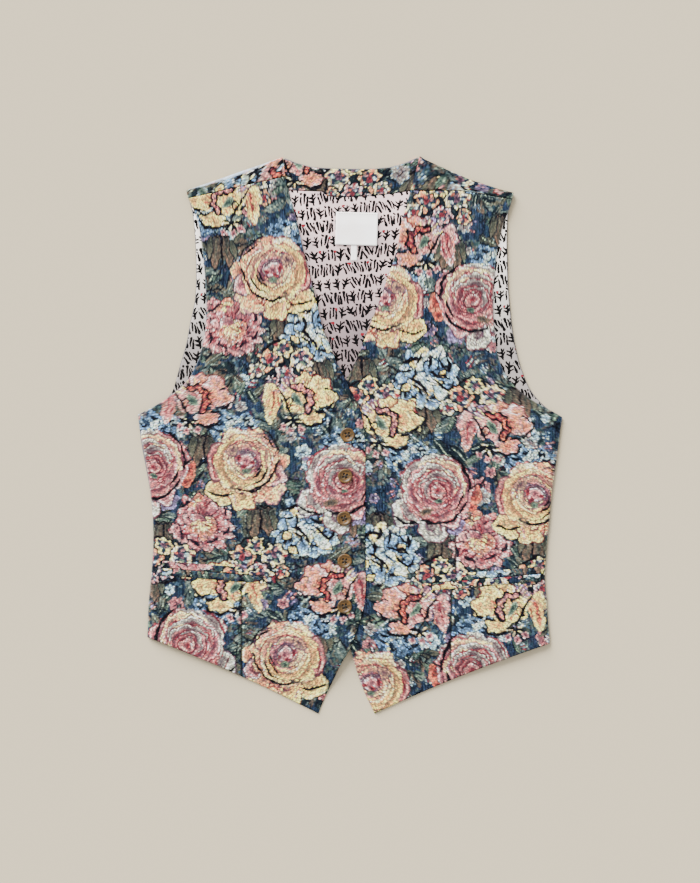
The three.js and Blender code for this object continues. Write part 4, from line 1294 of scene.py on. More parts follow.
class Graph:
    """The shader nodes of one material, joined as they are made."""

    def __init__(self, name: str) -> None:
        """Start a material with an empty tree."""
        self.material = bpy.data.materials.new(name)
        self.material.use_nodes = True
        self.tree = self.material.node_tree
        self.tree.nodes.clear()

    def node(self, kind: str, inputs: dict | None = None, **settings: object) -> bpy.types.Node:
        """One node, with its settings and inputs.

        Args:
            kind: What it is called, without the ShaderNode in front.
            inputs: For each input, by name or number, a value or a socket.
            settings: Values of the node's own settings.

        Returns:
            The node.
        """
        made = self.tree.nodes.new("ShaderNode" + kind)
        for key, value in settings.items():
            setattr(made, key, value)
        for key, value in (inputs or {}).items():
            if isinstance(value, Socket):
                self.tree.links.new(value, made.inputs[key])
            else:
                made.inputs[key].default_value = value
        return made

    def math(self, operation: str, *values: object, clamp: bool = False) -> Socket:
        """A sum or other operation on numbers."""
        return self.node("Math", dict(enumerate(values)), operation=operation, use_clamp=clamp).outputs[0]

    def sums(self) -> list[Callable[..., Socket]]:
        """Functions that add, subtract and multiply numbers."""
        return [partial(self.math, kind) for kind in ("ADD", "SUBTRACT", "MULTIPLY")]

    def vector(self, operation: str, *values: object) -> Socket:
        """An operation on vectors; a length or dot product gives a number."""
        made = self.node("VectorMath", dict(enumerate(values)), operation=operation)
        return made.outputs["Value" if operation in ("LENGTH", "DOT_PRODUCT") else "Vector"]

    def blend(self, share: object, one: object, other: object, how: str = "MIX") -> Socket:
        """Two colours mixed by a share."""
        return self.node("Mix", {0: share, 6: one, 7: other}, data_type="RGBA", blend_type=how).outputs[2]

    def ramp(self, value: object, low: float, high: float, start: float = 0.0, end: float = 1.0) -> Socket:
        """A number carried from one range to another, and kept inside it."""
        return self.node("MapRange", dict(enumerate((value, low, high, start, end))), clamp=True).outputs[0]

    def place(self, turn: float = 0.0, scale: tuple[float, float, float] = (1.0, 1.0, 1.0)) -> Socket:
        """Object coordinates, turned in degrees and scaled."""
        coords = self.node("TexCoord").outputs["Object"]
        turned = {"Vector": coords, "Rotation": (0.0, 0.0, math.radians(turn)), "Scale": scale}
        return self.node("Mapping", turned).outputs[0]

    def noise(self, where: object, scale: float, detail: float = 2.0) -> Socket:
        """Soft noise from 0 to 1 at a place."""
        return self.node("TexNoise", {"Vector": where, "Scale": scale, "Detail": detail}).outputs["Fac"]

    def bands(self, period: float, direction: str, **settings: float) -> Socket:
        """Waves from 0 to 1 a period in mm apart; settings are inputs, spaces as underscores."""
        inputs = {"Vector": self.place(), "Scale": math.pi / 10 / (period * MM)}
        inputs.update({key.replace("_", " "): value for key, value in settings.items()})
        return self.node("TexWave", inputs, bands_direction=direction).outputs["Fac"]

    def finish(self, colour: object, height: object, strength: float, depth: float,
               **sockets: object) -> Material:
        """Close the tree with a bump and a shader, and give the material.

        Args:
            colour, height: Base colour, a socket or four numbers, and height for the bump.
            strength, depth: Strength of the bump, and its depth in metres.
            sockets: Other inputs of the shader, spaces as underscores.
        """
        bump = self.node("Bump", {"Height": height, "Strength": strength, "Distance": depth})
        inputs = {"Base Color": colour, "Normal": bump.outputs[0]}
        inputs.update({key.replace("_", " "): value for key, value in sockets.items()})
        shader = self.node("BsdfPrincipled", inputs)
        self.node("OutputMaterial", {"Surface": shader.outputs[0]})
        return self.material


def paint(red: int, green: int, blue: int) -> tuple[float, float, float, float]:
    """A colour as it is to look on the screen, of 255, as shares of light."""
    return (*light_of(np.array((red, green, blue)) / 255).tolist(), 1.0)


@dataclass(frozen=True)
class JacquardFinish:
    """Yarn colours from the mesh, crossed by ribs and single yarns."""

    rib_period: float = 2.8
    warp_period: float = 0.85
    weft_period: float = 0.65
    rib_depth: float = 0.34
    roughness: float = 0.86

    def build(self) -> Material:
        """Make the material."""
        graph = Graph("jacquard_cloth")
        yarn = graph.node("Attribute", attribute_name="Yarn").outputs["Color"]
        rib = graph.node("Attribute", attribute_name="Rib").outputs["Fac"]
        ribs, warp, weft = (
            graph.bands(period, direction, Distortion=stray, Detail=1.0, Detail_Scale=1.5)
            for period, direction, stray in (
                (self.rib_period, "X", 1.2), (self.warp_period, "X", 0.8), (self.weft_period, "Y", 0.8))
        )
        grain = graph.place(scale=(1.0, 0.55, 1.0))
        stitch = graph.node("TexVoronoi", {"Vector": grain, "Scale": 1000.0, "Randomness": 1.0})
        light = graph.node("SeparateColor", {0: stitch.outputs["Color"]}).outputs[0]
        plus, minus, times = graph.sums()
        crossing = times(warp, weft)
        dark = times(times(graph.ramp(ribs, 0.35, 0.0), rib), self.rib_depth)
        shade = minus(graph.ramp(light, 0.0, 1.0, 0.78, 1.03), dark)
        shade = plus(shade, graph.ramp(crossing, 0.0, 1.0, -0.10, 0.08))
        grey = graph.node("CombineColor", {0: shade, 1: shade, 2: shade}).outputs[0]
        colour = graph.blend(1.0, yarn, grey, "MULTIPLY")
        height = minus(plus(times(crossing, 0.5), times(light, 0.35)), times(dark, 1.4))
        return graph.finish(colour, height, 0.38, 0.0004, Roughness=self.roughness, Specular_IOR_Level=0.03)


@dataclass(frozen=True)
class PlainFinish:
    """A plain woven cloth or tape in one pale colour."""

    name: str
    colour: Colour
    shadow: Colour
    period: float
    roughness: float

    def build(self) -> Material:
        """Make the material."""
        graph = Graph(self.name)
        lines = graph.bands(self.period, "DIAGONAL", Distortion=0.6, Detail=1.0)
        cloud = graph.noise(graph.place(), 45.0, 3.0)
        share = graph.math("MULTIPLY_ADD", lines, 0.25, graph.ramp(cloud, 0.35, 0.75, 0.0, 0.4))
        colour = graph.blend(share, paint(*self.colour), paint(*self.shadow))
        return graph.finish(colour, lines, 0.25, 0.0002, Roughness=self.roughness, Sheen_Weight=0.1,
                            Specular_IOR_Level=0.3)


@dataclass(frozen=True)
class PrintedLiningFinish:
    """White lining printed with rows of brushed black sprigs and red dots.

    The cloth is cut into cells, each with a sprig or a group of slanted dabs.
    A dab is the set of points near a short line: nearer than a radius that
    changes evenly from one end of the line to the other.
    """

    row_pitch: float = 15.0
    cell: float = 9.2
    row_turn: float = -6.0
    bold: float = 1.42
    SPRIG: ClassVar[tuple[tuple[float, ...], ...]] = (
        # start x, y, end x, y, start and end radius, in mm
        (-1.2, -5.2, 0.9, 4.8, 0.66, 0.5), (-0.7, -3.0, -4.2, -0.6, 0.95, 0.45),
        (-0.5, -2.0, 3.2, 0.6, 0.95, 0.45), (-0.1, 0.4, -3.4, 3.0, 0.9, 0.45),
        (0.2, 1.4, 3.5, 3.9, 0.85, 0.45),
    )
    DABS: ClassVar[tuple[tuple[float, ...], ...]] = (
        # the same columns
        (-3.9, -4.6, -2.4, 3.8, 0.95, 0.5), (-0.8, -3.0, 0.3, 4.8, 0.5, 0.95),
        (2.3, -4.8, 3.6, 1.8, 0.95, 0.5), (3.6, 4.4, 4.4, 4.8, 0.8, 0.6),
    )
    DOT: ClassVar[tuple[float, ...]] = (-3.3, 4.2, -2.0, 4.6, 0.9, 0.7)

    def dab(self, graph: Graph, point: object, row: tuple[float, ...]) -> Socket:
        """Cover of one dab, from 0 to 1.

        Args:
            graph: The material's nodes.
            point: Place in the cell, in mm.
            row: One row of a table of dabs.
        """
        x0, y0, x1, y1, thick, thin = row
        dx, dy = x1 - x0, y1 - y0
        square = dx * dx + dy * dy
        away = graph.vector("SUBTRACT", point, (x0, y0, 0.0))
        share = graph.vector("DOT_PRODUCT", away, (dx / square, dy / square, 0.0))
        share = graph.math("ADD", share, 0.0, clamp=True)
        foot = graph.node("VectorMath", {0: (dx, dy, 0.0), "Scale": share}, operation="SCALE").outputs[0]
        gap = graph.vector("LENGTH", graph.vector("SUBTRACT", away, foot))
        radius = graph.math("MULTIPLY_ADD", share, self.bold * (thin - thick), self.bold * thick)
        return graph.math("MULTIPLY_ADD", graph.math("SUBTRACT", radius, gap), 5.0, 0.5, clamp=True)

    def union(self, graph: Graph, point: object, rows: tuple[tuple[float, ...], ...]) -> Socket:
        """Cover of several dabs together: the greatest of theirs."""
        cover = self.dab(graph, point, rows[0])
        for row in rows[1:]:
            cover = graph.math("MAXIMUM", cover, self.dab(graph, point, row))
        return cover

    def build(self) -> Material:
        """Make the material: cells first, then the marks, cloth and painted light and shade."""
        graph = Graph("printed_lining")
        plus, minus, times = graph.sums()
        cloth = graph.place(self.row_turn, (1000.0, 1000.0, 0.0))
        stray = graph.node("TexNoise", {"Vector": cloth, "Scale": 0.22, "Detail": 1.0}).outputs["Color"]
        stray = graph.vector("SUBTRACT", stray, (0.5, 0.5, 0.5))
        bent = graph.vector("MULTIPLY_ADD", stray, (2.6, 2.6, 0.0), cloth)
        axes = graph.node("SeparateXYZ", {0: bent})
        row = graph.math("FLOOR", graph.math("DIVIDE", axes.outputs[1], self.row_pitch))
        level = plus(axes.outputs[0], times(graph.math("FRACT", times(row, 0.618)), self.cell))
        column = graph.math("FLOOR", graph.math("DIVIDE", level, self.cell))
        number = graph.node("CombineXYZ", {0: column, 1: row}).outputs[0]
        chance = graph.node("TexWhiteNoise", {"Vector": number}, noise_dimensions="2D")
        dice = graph.node("SeparateColor", {0: chance.outputs["Color"]})
        inside_x = minus(graph.math("MODULO", plus(level, 40 * self.cell), self.cell), 0.5 * self.cell)
        inside_y = minus(axes.outputs[1], times(plus(row, 0.5), self.row_pitch))
        inside_x = times(inside_x, graph.math("SIGN", minus(dice.outputs[0], 0.5)))
        point = graph.node("CombineXYZ", {0: inside_x, 1: inside_y}).outputs[0]
        angle = graph.ramp(dice.outputs[1], 0.0, 1.0, -0.5, 0.35)
        turned = {"Vector": point, "Angle": angle}
        point = graph.node("VectorRotate", turned, rotation_type="Z_AXIS").outputs[0]
        size = graph.ramp(dice.outputs[2], 0.0, 1.0, 0.84, 1.0)
        point = graph.node("VectorMath", {0: point, "Scale": size}, operation="SCALE").outputs[0]
        choice = graph.math("GREATER_THAN", chance.outputs["Value"], 0.45)
        sprig, dabs = self.union(graph, point, self.SPRIG), self.union(graph, point, self.DABS)
        marks = plus(times(sprig, choice), times(dabs, minus(1.0, choice)))
        dot = times(self.dab(graph, point, self.DOT), graph.math("GREATER_THAN", dice.outputs[2], 0.86))
        # Painted light and shade: soft patches of light and shade, and whiter at the armholes
        cloud = graph.noise(graph.place(), 14.0, 3.0)
        white = graph.blend(graph.ramp(cloud, 0.3, 0.7), paint(230, 223, 222), paint(204, 195, 197))
        spot = graph.node("SeparateXYZ", {0: graph.place()}).outputs
        side = graph.ramp(graph.math("ABSOLUTE", spot[0]), 0.10, 0.13)
        white = graph.blend(side, white, paint(231, 228, 226))
        # Painted shade: darker towards the bottom of the V, where the fronts lie over the lining
        white = graph.blend(times(graph.ramp(spot[1], 0.235, 0.09), 0.8), white, paint(146, 134, 138))
        printed = graph.blend(marks, white, paint(8, 6, 8))
        printed = graph.blend(dot, printed, paint(176, 44, 66))
        twill = graph.bands(0.5, "DIAGONAL", Distortion=0.5)
        height = plus(twill, times(graph.noise(graph.place(), 30.0), 3.0))
        return graph.finish(printed, height, 0.2, 0.0003, Roughness=0.75, Specular_IOR_Level=0.06)


@dataclass(frozen=True)
class HornFinish:
    """Amber brown horn, streaked and a little glossy."""

    def build(self) -> Material:
        """Make the material."""
        graph = Graph("button_horn")
        bent = graph.noise(graph.place(25.0, (1.0, 3.0, 1.0)), 160.0, 4.0)
        fine = graph.noise(graph.place(25.0, (1.0, 5.0, 1.0)), 700.0, 3.0)
        base = graph.blend(graph.ramp(bent, 0.35, 0.68), paint(92, 62, 4), paint(156, 114, 22))
        colour = graph.blend(graph.ramp(fine, 0.45, 0.7, 0.0, 0.45), base, paint(46, 32, 14))
        return graph.finish(colour, fine, 0.12, 0.0002, Roughness=graph.ramp(fine, 0.3, 0.7, 0.4, 0.55),
                            Specular_IOR_Level=0.35)


@dataclass(frozen=True)
class ThreadFinish:
    """Twisted sewing thread in one colour."""

    name: str
    colour: Colour

    def build(self) -> Material:
        """Make the material."""
        graph = Graph(self.name)
        twist = {"Vector": graph.place(), "Scale": 520.0, "Distortion": 1.0, "Detail": 1.0}
        ply = graph.node("TexWave", twist, bands_direction="DIAGONAL").outputs["Fac"]
        dark = tuple(int(0.7 * c) for c in self.colour)
        colour = graph.blend(graph.ramp(ply, 0.0, 0.5, 0.5, 0.0), paint(*self.colour), paint(*dark))
        return graph.finish(colour, ply, 0.4, 0.0002, Roughness=0.7, Sheen_Weight=0.1)


@dataclass(frozen=True)
class FloorFinish:
    """Plain pale paper."""

    colour: Colour = (210, 205, 192)

    def build(self) -> Material:
        """Make the material."""
        graph = Graph("pale_paper")
        tooth = graph.noise(graph.place(), 300.0, 2.0)
        return graph.finish(paint(*self.colour), tooth, 0.02, 0.0002, Roughness=0.9, Specular_IOR_Level=0.1)


@dataclass(frozen=True)
class Dart:
    """A sewn dart: an upright line that takes up some of the cloth."""

    x_low: float
    x_high: float
    low: float
    high: float
    intake: float

    def side(self, x: Array, y: Array) -> Array:
        """Distance from the line, positive on its right."""
        return x - mix(self.x_low, self.x_high, np.clip((y - self.low) / (self.high - self.low), 0, 1))

    def reach(self, y: Array) -> Array:
        """1 along the dart, easing to 0 past its ends."""
        return smooth((y - self.low + 3) / 3) * smooth((self.high + 3 - y) / 3)

    def bump(self, x: Array, y: Array, width: float, shift: float = 0.0) -> Array:
        """A bell across the dart, 1 along a line beside it: exp(-(distance / width)^2)."""
        return np.exp(-((self.side(x, y) - shift) / width) ** 2) * self.reach(y)


@dataclass
class Front:
    """One front: jacquard over canvas and facing, pressed flat."""

    name: str
    node: str
    outline: Outline
    hand: int
    darts: tuple[Dart, ...]
    bouquet: Bouquet
    mouth: Line
    columns: int = 189
    rows: int = 461
    stride: int = 4
    flat: tuple[float, float] = (0.0, 0.0)
    area: float = 0.0

    SIDE_UNDER: ClassVar[float] = 1.8
    SIDE_RISE: ClassVar[float] = 3.3
    FRONT_UNDER: ClassVar[float] = 4.3
    ARMHOLE_UNDER: ClassVar[float] = 3.2
    SHOULDER_UNDER: ClassVar[float] = 3.4
    WAVE_HEIGHT: ClassVar[float] = 0.35
    OVERLAP_LIFT: ClassVar[float] = 2.1
    ENDS: ClassVar[tuple[float, ...]] = (0.3, 0.0, 0.2, 0.8)
    RISES: ClassVar[tuple[float, ...]] = (0.0, 0.45, 0.92, 1.0)

    def under(self, x: Array, y: Array) -> Array:
        """Height of the underside at places in mm.

        It climbs from the side seam over the lining in two eased steps, from
        the armhole in one, lies lower at the shoulder seam, rides over the
        other front where they overlap, waves a little between, and comes down
        to the table below the hem of the back.
        """
        table = np.array(self.outline.rows)
        outer, level = table[:, 0] * self.hand, table[:, 1]
        low = slice(0, self.outline.corner + 1)
        from_side = x * self.hand - np.interp(y, level[low], outer[low])
        from_edge = x * self.hand - np.interp(y, level, outer)
        side = mix(self.SIDE_UNDER, self.SIDE_RISE, smooth(from_side / SIDE_WIDTH))
        side = side + (self.FRONT_UNDER - self.SIDE_RISE) * smooth((from_side - SIDE_WIDTH) / 40)
        armhole = mix(self.ARMHOLE_UNDER, self.FRONT_UNDER, smooth(from_edge / 30))
        under = mix(np.minimum(side, armhole), self.SHOULDER_UNDER, smooth((y - 205) / 40))
        chest = 1 - smooth((y - 150) / 60)
        if self.hand > 0:
            under = under + self.OVERLAP_LIFT * smooth((x + 62) / 34) * chest
        quiet = smooth((from_edge - 30) / 30) * smooth((-self.hand * x - 45) / 25)
        under = under + self.WAVE_HEIGHT * quiet * np.sin(0.045 * x * self.hand + 0.022 * y) * chest
        start = 214 + 12 * np.exp(-((x / 60) ** 2))
        return under * (1 - smooth((-y - start) / 50))

    def plan(self) -> tuple[Array, Array, Array]:
        """The grid seen from above, and the share of the wall at each point.

        Returns:
            X and y of the points, and 0 to 1 where the rim thins the wall.
        """
        place = self.outline.spread(self.rows, self.ENDS, 0.6)
        row = self.outline.at(place)
        width = np.hypot(row[:, 2] - row[:, 0], row[:, 3] - row[:, 1])[:, None]
        ends = np.broadcast_to(self.ENDS, (len(row), len(self.ENDS)))
        body = mix(1.8, width - 1.8, np.linspace(0, 1, self.columns)[None, :])
        u = np.concatenate([ends, body, width - ends[:, ::-1]], axis=1) / width
        share = (place / self.outline.last)[:, None]
        x = mix(row[:, :1], row[:, 2:3], u)
        y = mix(row[:, 1:2], row[:, 3:4], u) + 12 * u * (1 - u) * (1 - share) ** 8
        if self.hand < 0:
            y = y + seam_bow(u) * share ** 12
        rim = np.minimum(u, 1 - u) * width
        thick = mix(FRONT_RIM, FRONT_WALL, smooth(rim / RIM_WIDTH))
        across, up = np.ones(u.shape[1]), np.ones(len(place))
        for rises in (across, up):
            rises[:len(self.RISES)], rises[-len(self.RISES):] = self.RISES, self.RISES[::-1]
        turned = np.minimum(across[None, :], up[:, None])
        return x, y, np.where(turned < 1, turned * FRONT_RIM, thick)

    def cloth(self, x: Array, y: Array) -> tuple[Array, Array]:
        """Places on the flat cloth, which the darts take up some of."""
        taken = sum(0.5 * dart.intake * np.sign(dart.side(x, y)) * dart.reach(y)
                    * np.exp(-np.abs(dart.side(x, y)) / 40) for dart in self.darts)
        return x + taken, y

    def build(self, jacquard: Material, inside: Material) -> Object:
        """Make the front, and note its flat size and area.

        Args:
            jacquard: Material of the outside.
            inside: Material of the underside.

        Returns:
            The finished piece.
        """
        x, y, thick = self.plan()
        canvas = self.bouquet.paint(*self.cloth(x, y))
        self.shade_mouth(canvas, x, y)
        for dart in self.darts:
            # Painted shade in each dart's seam, and a painted highlight just beside it
            shadow = 0.6 * dart.bump(x, y, 0.8) - 0.16 * dart.bump(x, y, 1.2, 2.2)
            canvas.rgb *= 1 - shadow.reshape(-1, 1)
        self.paint_edge_highlight(canvas, x, y)
        raised = (1 - canvas.rib).reshape(x.shape)
        fold, puff = (sum(dart.bump(x, y, width) for dart in self.darts) for width in (1.3, 9.0))
        base = self.under(x, y)
        full = smooth((thick - FRONT_RIM) / 0.5)
        top = base + thick + full * (0.10 * raised - 0.75 * fold + 0.22 * puff)
        upper = np.stack([x, y, top], axis=-1)
        lower = np.stack([x, y, base], axis=-1)[::self.stride, ::self.stride]
        shell = Shell(upper, lower, self.stride)
        faces, kind = shell.faces()
        colour = canvas.linear()
        plain = np.tile(colour.mean(axis=0), (lower.shape[0] * lower.shape[1], 1))
        piece = Piece(self.name, both(upper, lower), faces, [jacquard, inside], (kind > 0).astype(int),
                      np.concatenate([colour, plain]), np.concatenate([canvas.rib, np.zeros(len(plain))]),
                      charts_of(x.shape, lower.shape[:2], 0.9))
        self.flat = (np.ptp(x) * MM, np.ptp(y) * MM)
        self.area = area_of(upper)
        return piece.make("jacquard", self.node)

    def paint_edge_highlight(self, canvas: Canvas, x: Array, y: Array) -> None:
        """Paint a pale highlight along the turned side seam and armhole edges."""
        table = np.array(self.outline.rows)
        edge = np.interp(y, table[:, 1], table[:, 0])
        gap = ((x - edge) * self.hand).ravel()
        # Painted highlight: a pale line along the edge
        canvas.lay_pale((216, 212, 208), 0.5 * smooth((1.8 - gap) / 1.6))

    def shade_mouth(self, canvas: Canvas, x: Array, y: Array) -> None:
        """Darken the cloth under the mouth of the pocket."""
        (x0, y0), (x1, y1) = self.mouth
        share = np.clip((x - x0) / (x1 - x0), 0, 1)
        gap = np.hypot(x - mix(x0, x1, share), y - mix(y0, y1, share)).ravel()
        canvas.rgb *= 1 - 0.7 * smooth((1.6 - gap) / 0.8)[:, None]


@dataclass
class Pocket:
    """A jetted pocket: two lips of jacquard that meet at its mouth."""

    front: Front
    side: str
    seed: int
    stations: int = 118
    rows: int = 11

    JET_WALL: ClassVar[float] = 0.9
    JET_WIDTH: ClassVar[float] = 7.3
    CLEAR: ClassVar[float] = 0.35

    def lip(self, direction: int) -> tuple[Array, Array]:
        """Upper and lower skin of one lip, worked out from the front's points.

        Across the lip its height follows a quarter circle at the mouth, where
        the cloth is folded, and dips to the seam on the other side.

        Args:
            direction: 1 for the upper lip, -1 for the lower one.

        Returns:
            Two grids of points, one row for each line along the lip.
        """
        (x0, y0), (x1, y1) = self.front.mouth
        length = math.hypot(x1 - x0, y1 - y0)
        share = stops(length, self.stations)[0] / length
        across = stops(self.JET_WIDTH, self.rows)[0]
        x = np.broadcast_to(mix(x0, x1, share), (len(across), len(share)))
        y = mix(y0, y1, share)[None, :] + direction * (SEAM_GAP / 2 + across[:, None])
        base = self.front.under(x, y) + FRONT_WALL + self.CLEAR
        fold = np.sqrt(np.clip(1 - (1 - across / 1.3).clip(0) ** 2, 0.04, 1))
        seam = mix(0.3, 1.0, smooth((self.JET_WIDTH - across) / 1.6))
        pull = 0.93 + 0.07 * np.cos(x * 0.9 + 2.0 * direction)
        height = self.JET_WALL * (fold * seam)[:, None] * rim_shares(len(share))[None, :] * pull
        return np.stack([x, y, base + height], axis=-1), np.stack([x, y, base + 0 * height], axis=-1)

    def build(self, jacquard: Material) -> list[Object]:
        """Make both lips, in jacquard that doesn't match the front's."""
        made = []
        for direction, word in ((1, "upper"), (-1, "lower")):
            upper, lower = self.lip(direction)
            bouquet = Bouquet(REPEAT, self.seed + direction, True, (23.0 * direction, 55.0))
            canvas = bouquet.paint(upper[..., 0], upper[..., 1])
            name = f"{self.side}_pocket_{word}_lip"
            piece = wall(f"jacquard_{name}", upper, lower, jacquard, 0.9, canvas, direction < 0)
            made.append(piece.make("jacquard", name))
        return made


@dataclass
class Back:
    """The back with its two shoulders, which fold over to the front."""

    outline: Outline
    bouquet: Bouquet
    shoulder: int = 60
    neck: int = 50
    flat: int = 176
    strip: int = 16

    @staticmethod
    def ends_to(line: Line, share: Array) -> Array:
        """Points of a line, at shares of its width."""
        x = mix(float(line[0][0]), float(line[-1][0]), share)
        return np.stack([x, along(line, x)], axis=1)

    def head(self) -> tuple[Array, Array, Array, Array]:
        """The line that each column runs up to, along the folds and the neck.

        Returns:
            Points of the line, the way from each to the seam in front, how far
            that is, and True where the column folds over.
        """
        share = stops(100.0, self.shoulder)[0] / 100.0
        neck_x = np.linspace(NECK[0][0], NECK[-1][0], self.neck + 2)[1:-1]
        neck = np.stack([neck_x, along(NECK, neck_x)], axis=1)
        right_fold, left_fold, right_seam, left_seam = (
            self.ends_to(line, share) for line in (RIGHT_FOLD, LEFT_FOLD, RIGHT_SEAM, LEFT_SEAM))
        left_seam[:, 1] += seam_bow(share)
        line = np.concatenate([right_fold, neck, left_fold])
        aim = np.concatenate([right_seam, neck, left_seam]) - line
        reach = np.hypot(aim[:, 0], aim[:, 1])
        folds = reach > 1.0
        toward = np.where(folds[:, None], aim / np.maximum(reach, 1e-6)[:, None], 0.0)
        return line, toward, reach, folds

    @staticmethod
    def at_height(places: Array, height: float) -> Array:
        """Places seen from above, as points at one height."""
        return np.concatenate([places, np.full((len(places), 1), height)], axis=1)

    def grids(self) -> tuple[Array, Array, Array, Array]:
        """Both skins, the places on the flat cloth, and the cells kept.

        The flat part follows the outline up to the fold. Round the fold the
        skins are half circles, and then run on, level, to the seam.

        Returns:
            Outer and inner skin, x and y on the flat cloth, cells that are cloth.
        """
        line, toward, reach, folds = self.head()
        first, last = line[0], line[-1]
        u = (line[:, 0] - first[0]) / (last[0] - first[0])
        rise = line[:, 1] - mix(first[1], last[1], u)
        place = self.outline.spread(self.flat, RIM_STOPS, 0.0)[:-3]
        row = self.outline.at(place)
        share = (place / self.outline.last)[:, None]
        pull = smooth((0.5 * (row[:, 1:2] + row[:, 3:4]) - 20) / 234)
        x = mix(row[:, :1], row[:, 2:3], u[None, :])
        y = mix(row[:, 1:2], row[:, 3:4], u[None, :]) + rise * pull + 24 * u * (1 - u) * (1 - share) ** 6
        stop = line + toward * FOLD_RADIUS
        below = (y < stop[None, :, 1] - 1.2).all(axis=1)
        x, y = x[below], y[below]
        flat_rows = len(x)
        turn = np.radians(np.linspace(0, 180, 13) - 90)
        reach_on = np.linspace(0, 1, self.strip + 1)[1:] * (reach - FOLD_RADIUS - SEAM_GAP)[:, None]
        out, into, cloth = [], [], []
        bend = FOLD_RADIUS - BACK_WALL
        for angle in turn:
            shift, rise = -math.cos(angle), math.sin(angle)
            out.append(self.at_height(stop + toward * shift * FOLD_RADIUS, FOLD_RADIUS * (1 + rise)))
            into.append(self.at_height(stop + toward * shift * bend, FOLD_RADIUS + bend * rise))
            cloth.append(stop - toward * FOLD_RADIUS * (angle + math.pi / 2))
        for run in np.hsplit(reach_on, self.strip):
            out.append(self.at_height(stop + toward * run, 2 * FOLD_RADIUS))
            into.append(self.at_height(stop + toward * run, 2 * FOLD_RADIUS - BACK_WALL))
            cloth.append(stop - toward * (FOLD_RADIUS * math.pi + run))
        flat = np.stack([x, y, np.zeros_like(x)], axis=-1)
        outer = np.concatenate([flat, np.stack(out)])
        inner = np.concatenate([flat + [0, 0, BACK_WALL], np.stack(into)])
        on_cloth = np.concatenate([flat[..., :2], np.stack(cloth)])
        keep = np.ones((outer.shape[0] - 1, outer.shape[1] - 1), bool)
        keep[flat_rows:] &= folds[:-1] & folds[1:]
        return outer, inner, on_cloth, keep

    def pale_fold(self, canvas: Canvas, outer: Array) -> None:
        """Lay a pale colour on a narrow band of the wearer's right shoulder beside its fold."""
        x, y, z = outer.reshape(-1, 3).T
        share = np.clip((x - RIGHT_FOLD[0][0]) / (RIGHT_FOLD[1][0] - RIGHT_FOLD[0][0]), 0, 1)
        gap = along(RIGHT_FOLD, x) - y
        width = 4.0 * np.sin(math.pi * share) ** 0.8 + 1.2 * (canvas.dab - 0.5)
        cover = 0.9 * smooth((width - gap) / 0.8) * (z > FOLD_RADIUS) * (x < -70.0)
        canvas.lay_pale((222, 220, 220), cover)

    def build(self, jacquard: Material, inside: Material) -> Object:
        """Args:
            jacquard: Material of the outside.
            inside: Material of the inside, which the lining covers.

        Returns:
            The finished piece.
        """
        outer, inner, cloth, keep = self.grids()
        canvas = self.bouquet.paint(cloth[..., 0], cloth[..., 1])
        self.pale_fold(canvas, outer)
        shares = edge_shares(outer.shape)[..., None]
        middle = 0.5 * (outer + inner)
        outer, inner = mix(middle, outer, shares), mix(middle, inner, shares)
        faces, kind = wall_faces(grid_ids(outer), keep)
        faces = [face[::-1] for face in faces]
        points = both(outer, inner)
        used = np.unique(np.array(faces))
        number = np.zeros(len(points), dtype=int)
        number[used] = np.arange(len(used))
        faces = [tuple(number[list(face)].tolist()) for face in faces]
        shape = outer.shape[:2]
        piece = Piece("jacquard_back", points[used], faces, [jacquard, inside], (kind == 1).astype(int),
                      np.tile(canvas.linear(), (2, 1))[used], np.tile(canvas.rib, 2)[used],
                      charts_of(shape, shape, 0.66)[used])
        obj = piece.make("jacquard", "back")
        return obj


@dataclass
class Lining:
    """The lining of the back, lying flat inside it up to the facing."""

    outline: Outline
    columns: int = 101
    rows: int = 114

    def build(self, printed: Material) -> Object:
        """Make the lining, with a soft pleat down its middle under the loop."""
        place = self.outline.spread(self.rows, RIM_STOPS, 0.0)
        row = self.outline.at(place)
        width = np.hypot(row[:, 2] - row[:, 0], row[:, 3] - row[:, 1])
        u = stops(width, self.columns) / width[:, None]
        x = mix(row[:, :1], row[:, 2:3], u)
        y = mix(row[:, 1:2], row[:, 3:4], u)
        top = np.where(np.abs(x) <= 80.1, along(FACING_LOWER, x) - 1.5 * SEAM_GAP, y)
        y = mix(y, top, smooth((place / self.outline.last - 0.9) / 0.1)[:, None])
        shares = edge_shares(x.shape)
        pleat = np.exp(-((x - 5.0) / 2.2) ** 2) * smooth((196 - y) / 20) * smooth((y - 60) / 60)
        crease = 0.5 + 0.5 * np.sin(0.11 * x + 0.05 * y + 1.4 * np.sin(0.031 * y))
        base = np.full(x.shape, LINING_UNDER)
        height = base + LINING_WALL * shares + 0.16 * crease + 0.18 * pleat
        upper, lower = np.stack([x, y, height], axis=-1), np.stack([x, y, base], axis=-1)
        obj = wall("printed_lining_of_back", upper, lower, printed, 0.66).make("lining", "back_lining")
        return obj


@dataclass
class Facing:
    """The band of jacquard that faces the back of the neck."""

    bouquet: Bouquet
    columns: int = 140
    rows: int = 26
    depth: float = 28.0

    def build(self, jacquard: Material) -> Object:
        """Make the band between its two lines."""
        start, width = FACING_LOWER[0][0], float(FACING_LOWER[-1][0] - FACING_LOWER[0][0])
        x = stops(width, self.columns)[0] + start
        low, high = along(FACING_LOWER, x), along(FACING_UPPER, x)
        v = stops(self.depth, self.rows)[0][:, None] / self.depth
        y = mix(low[None, :], high[None, :], v)
        x = np.broadcast_to(x, y.shape)
        shares = edge_shares(x.shape)
        canvas = self.bouquet.paint(x, y)
        base = np.full(x.shape, LINING_UNDER)
        roll = 0.35 * smooth((0.25 - v) / 0.25) + 0.1 * np.sin(0.12 * x)
        upper = np.stack([x, y, base + LINING_WALL * shares + roll * (shares == 1)], axis=-1)
        lower = np.stack([x, y, base], axis=-1)
        piece = wall("jacquard_neck_facing", upper, lower, jacquard, 0.66, canvas)
        obj = piece.make("jacquard", "back_neck_facing")
        return obj


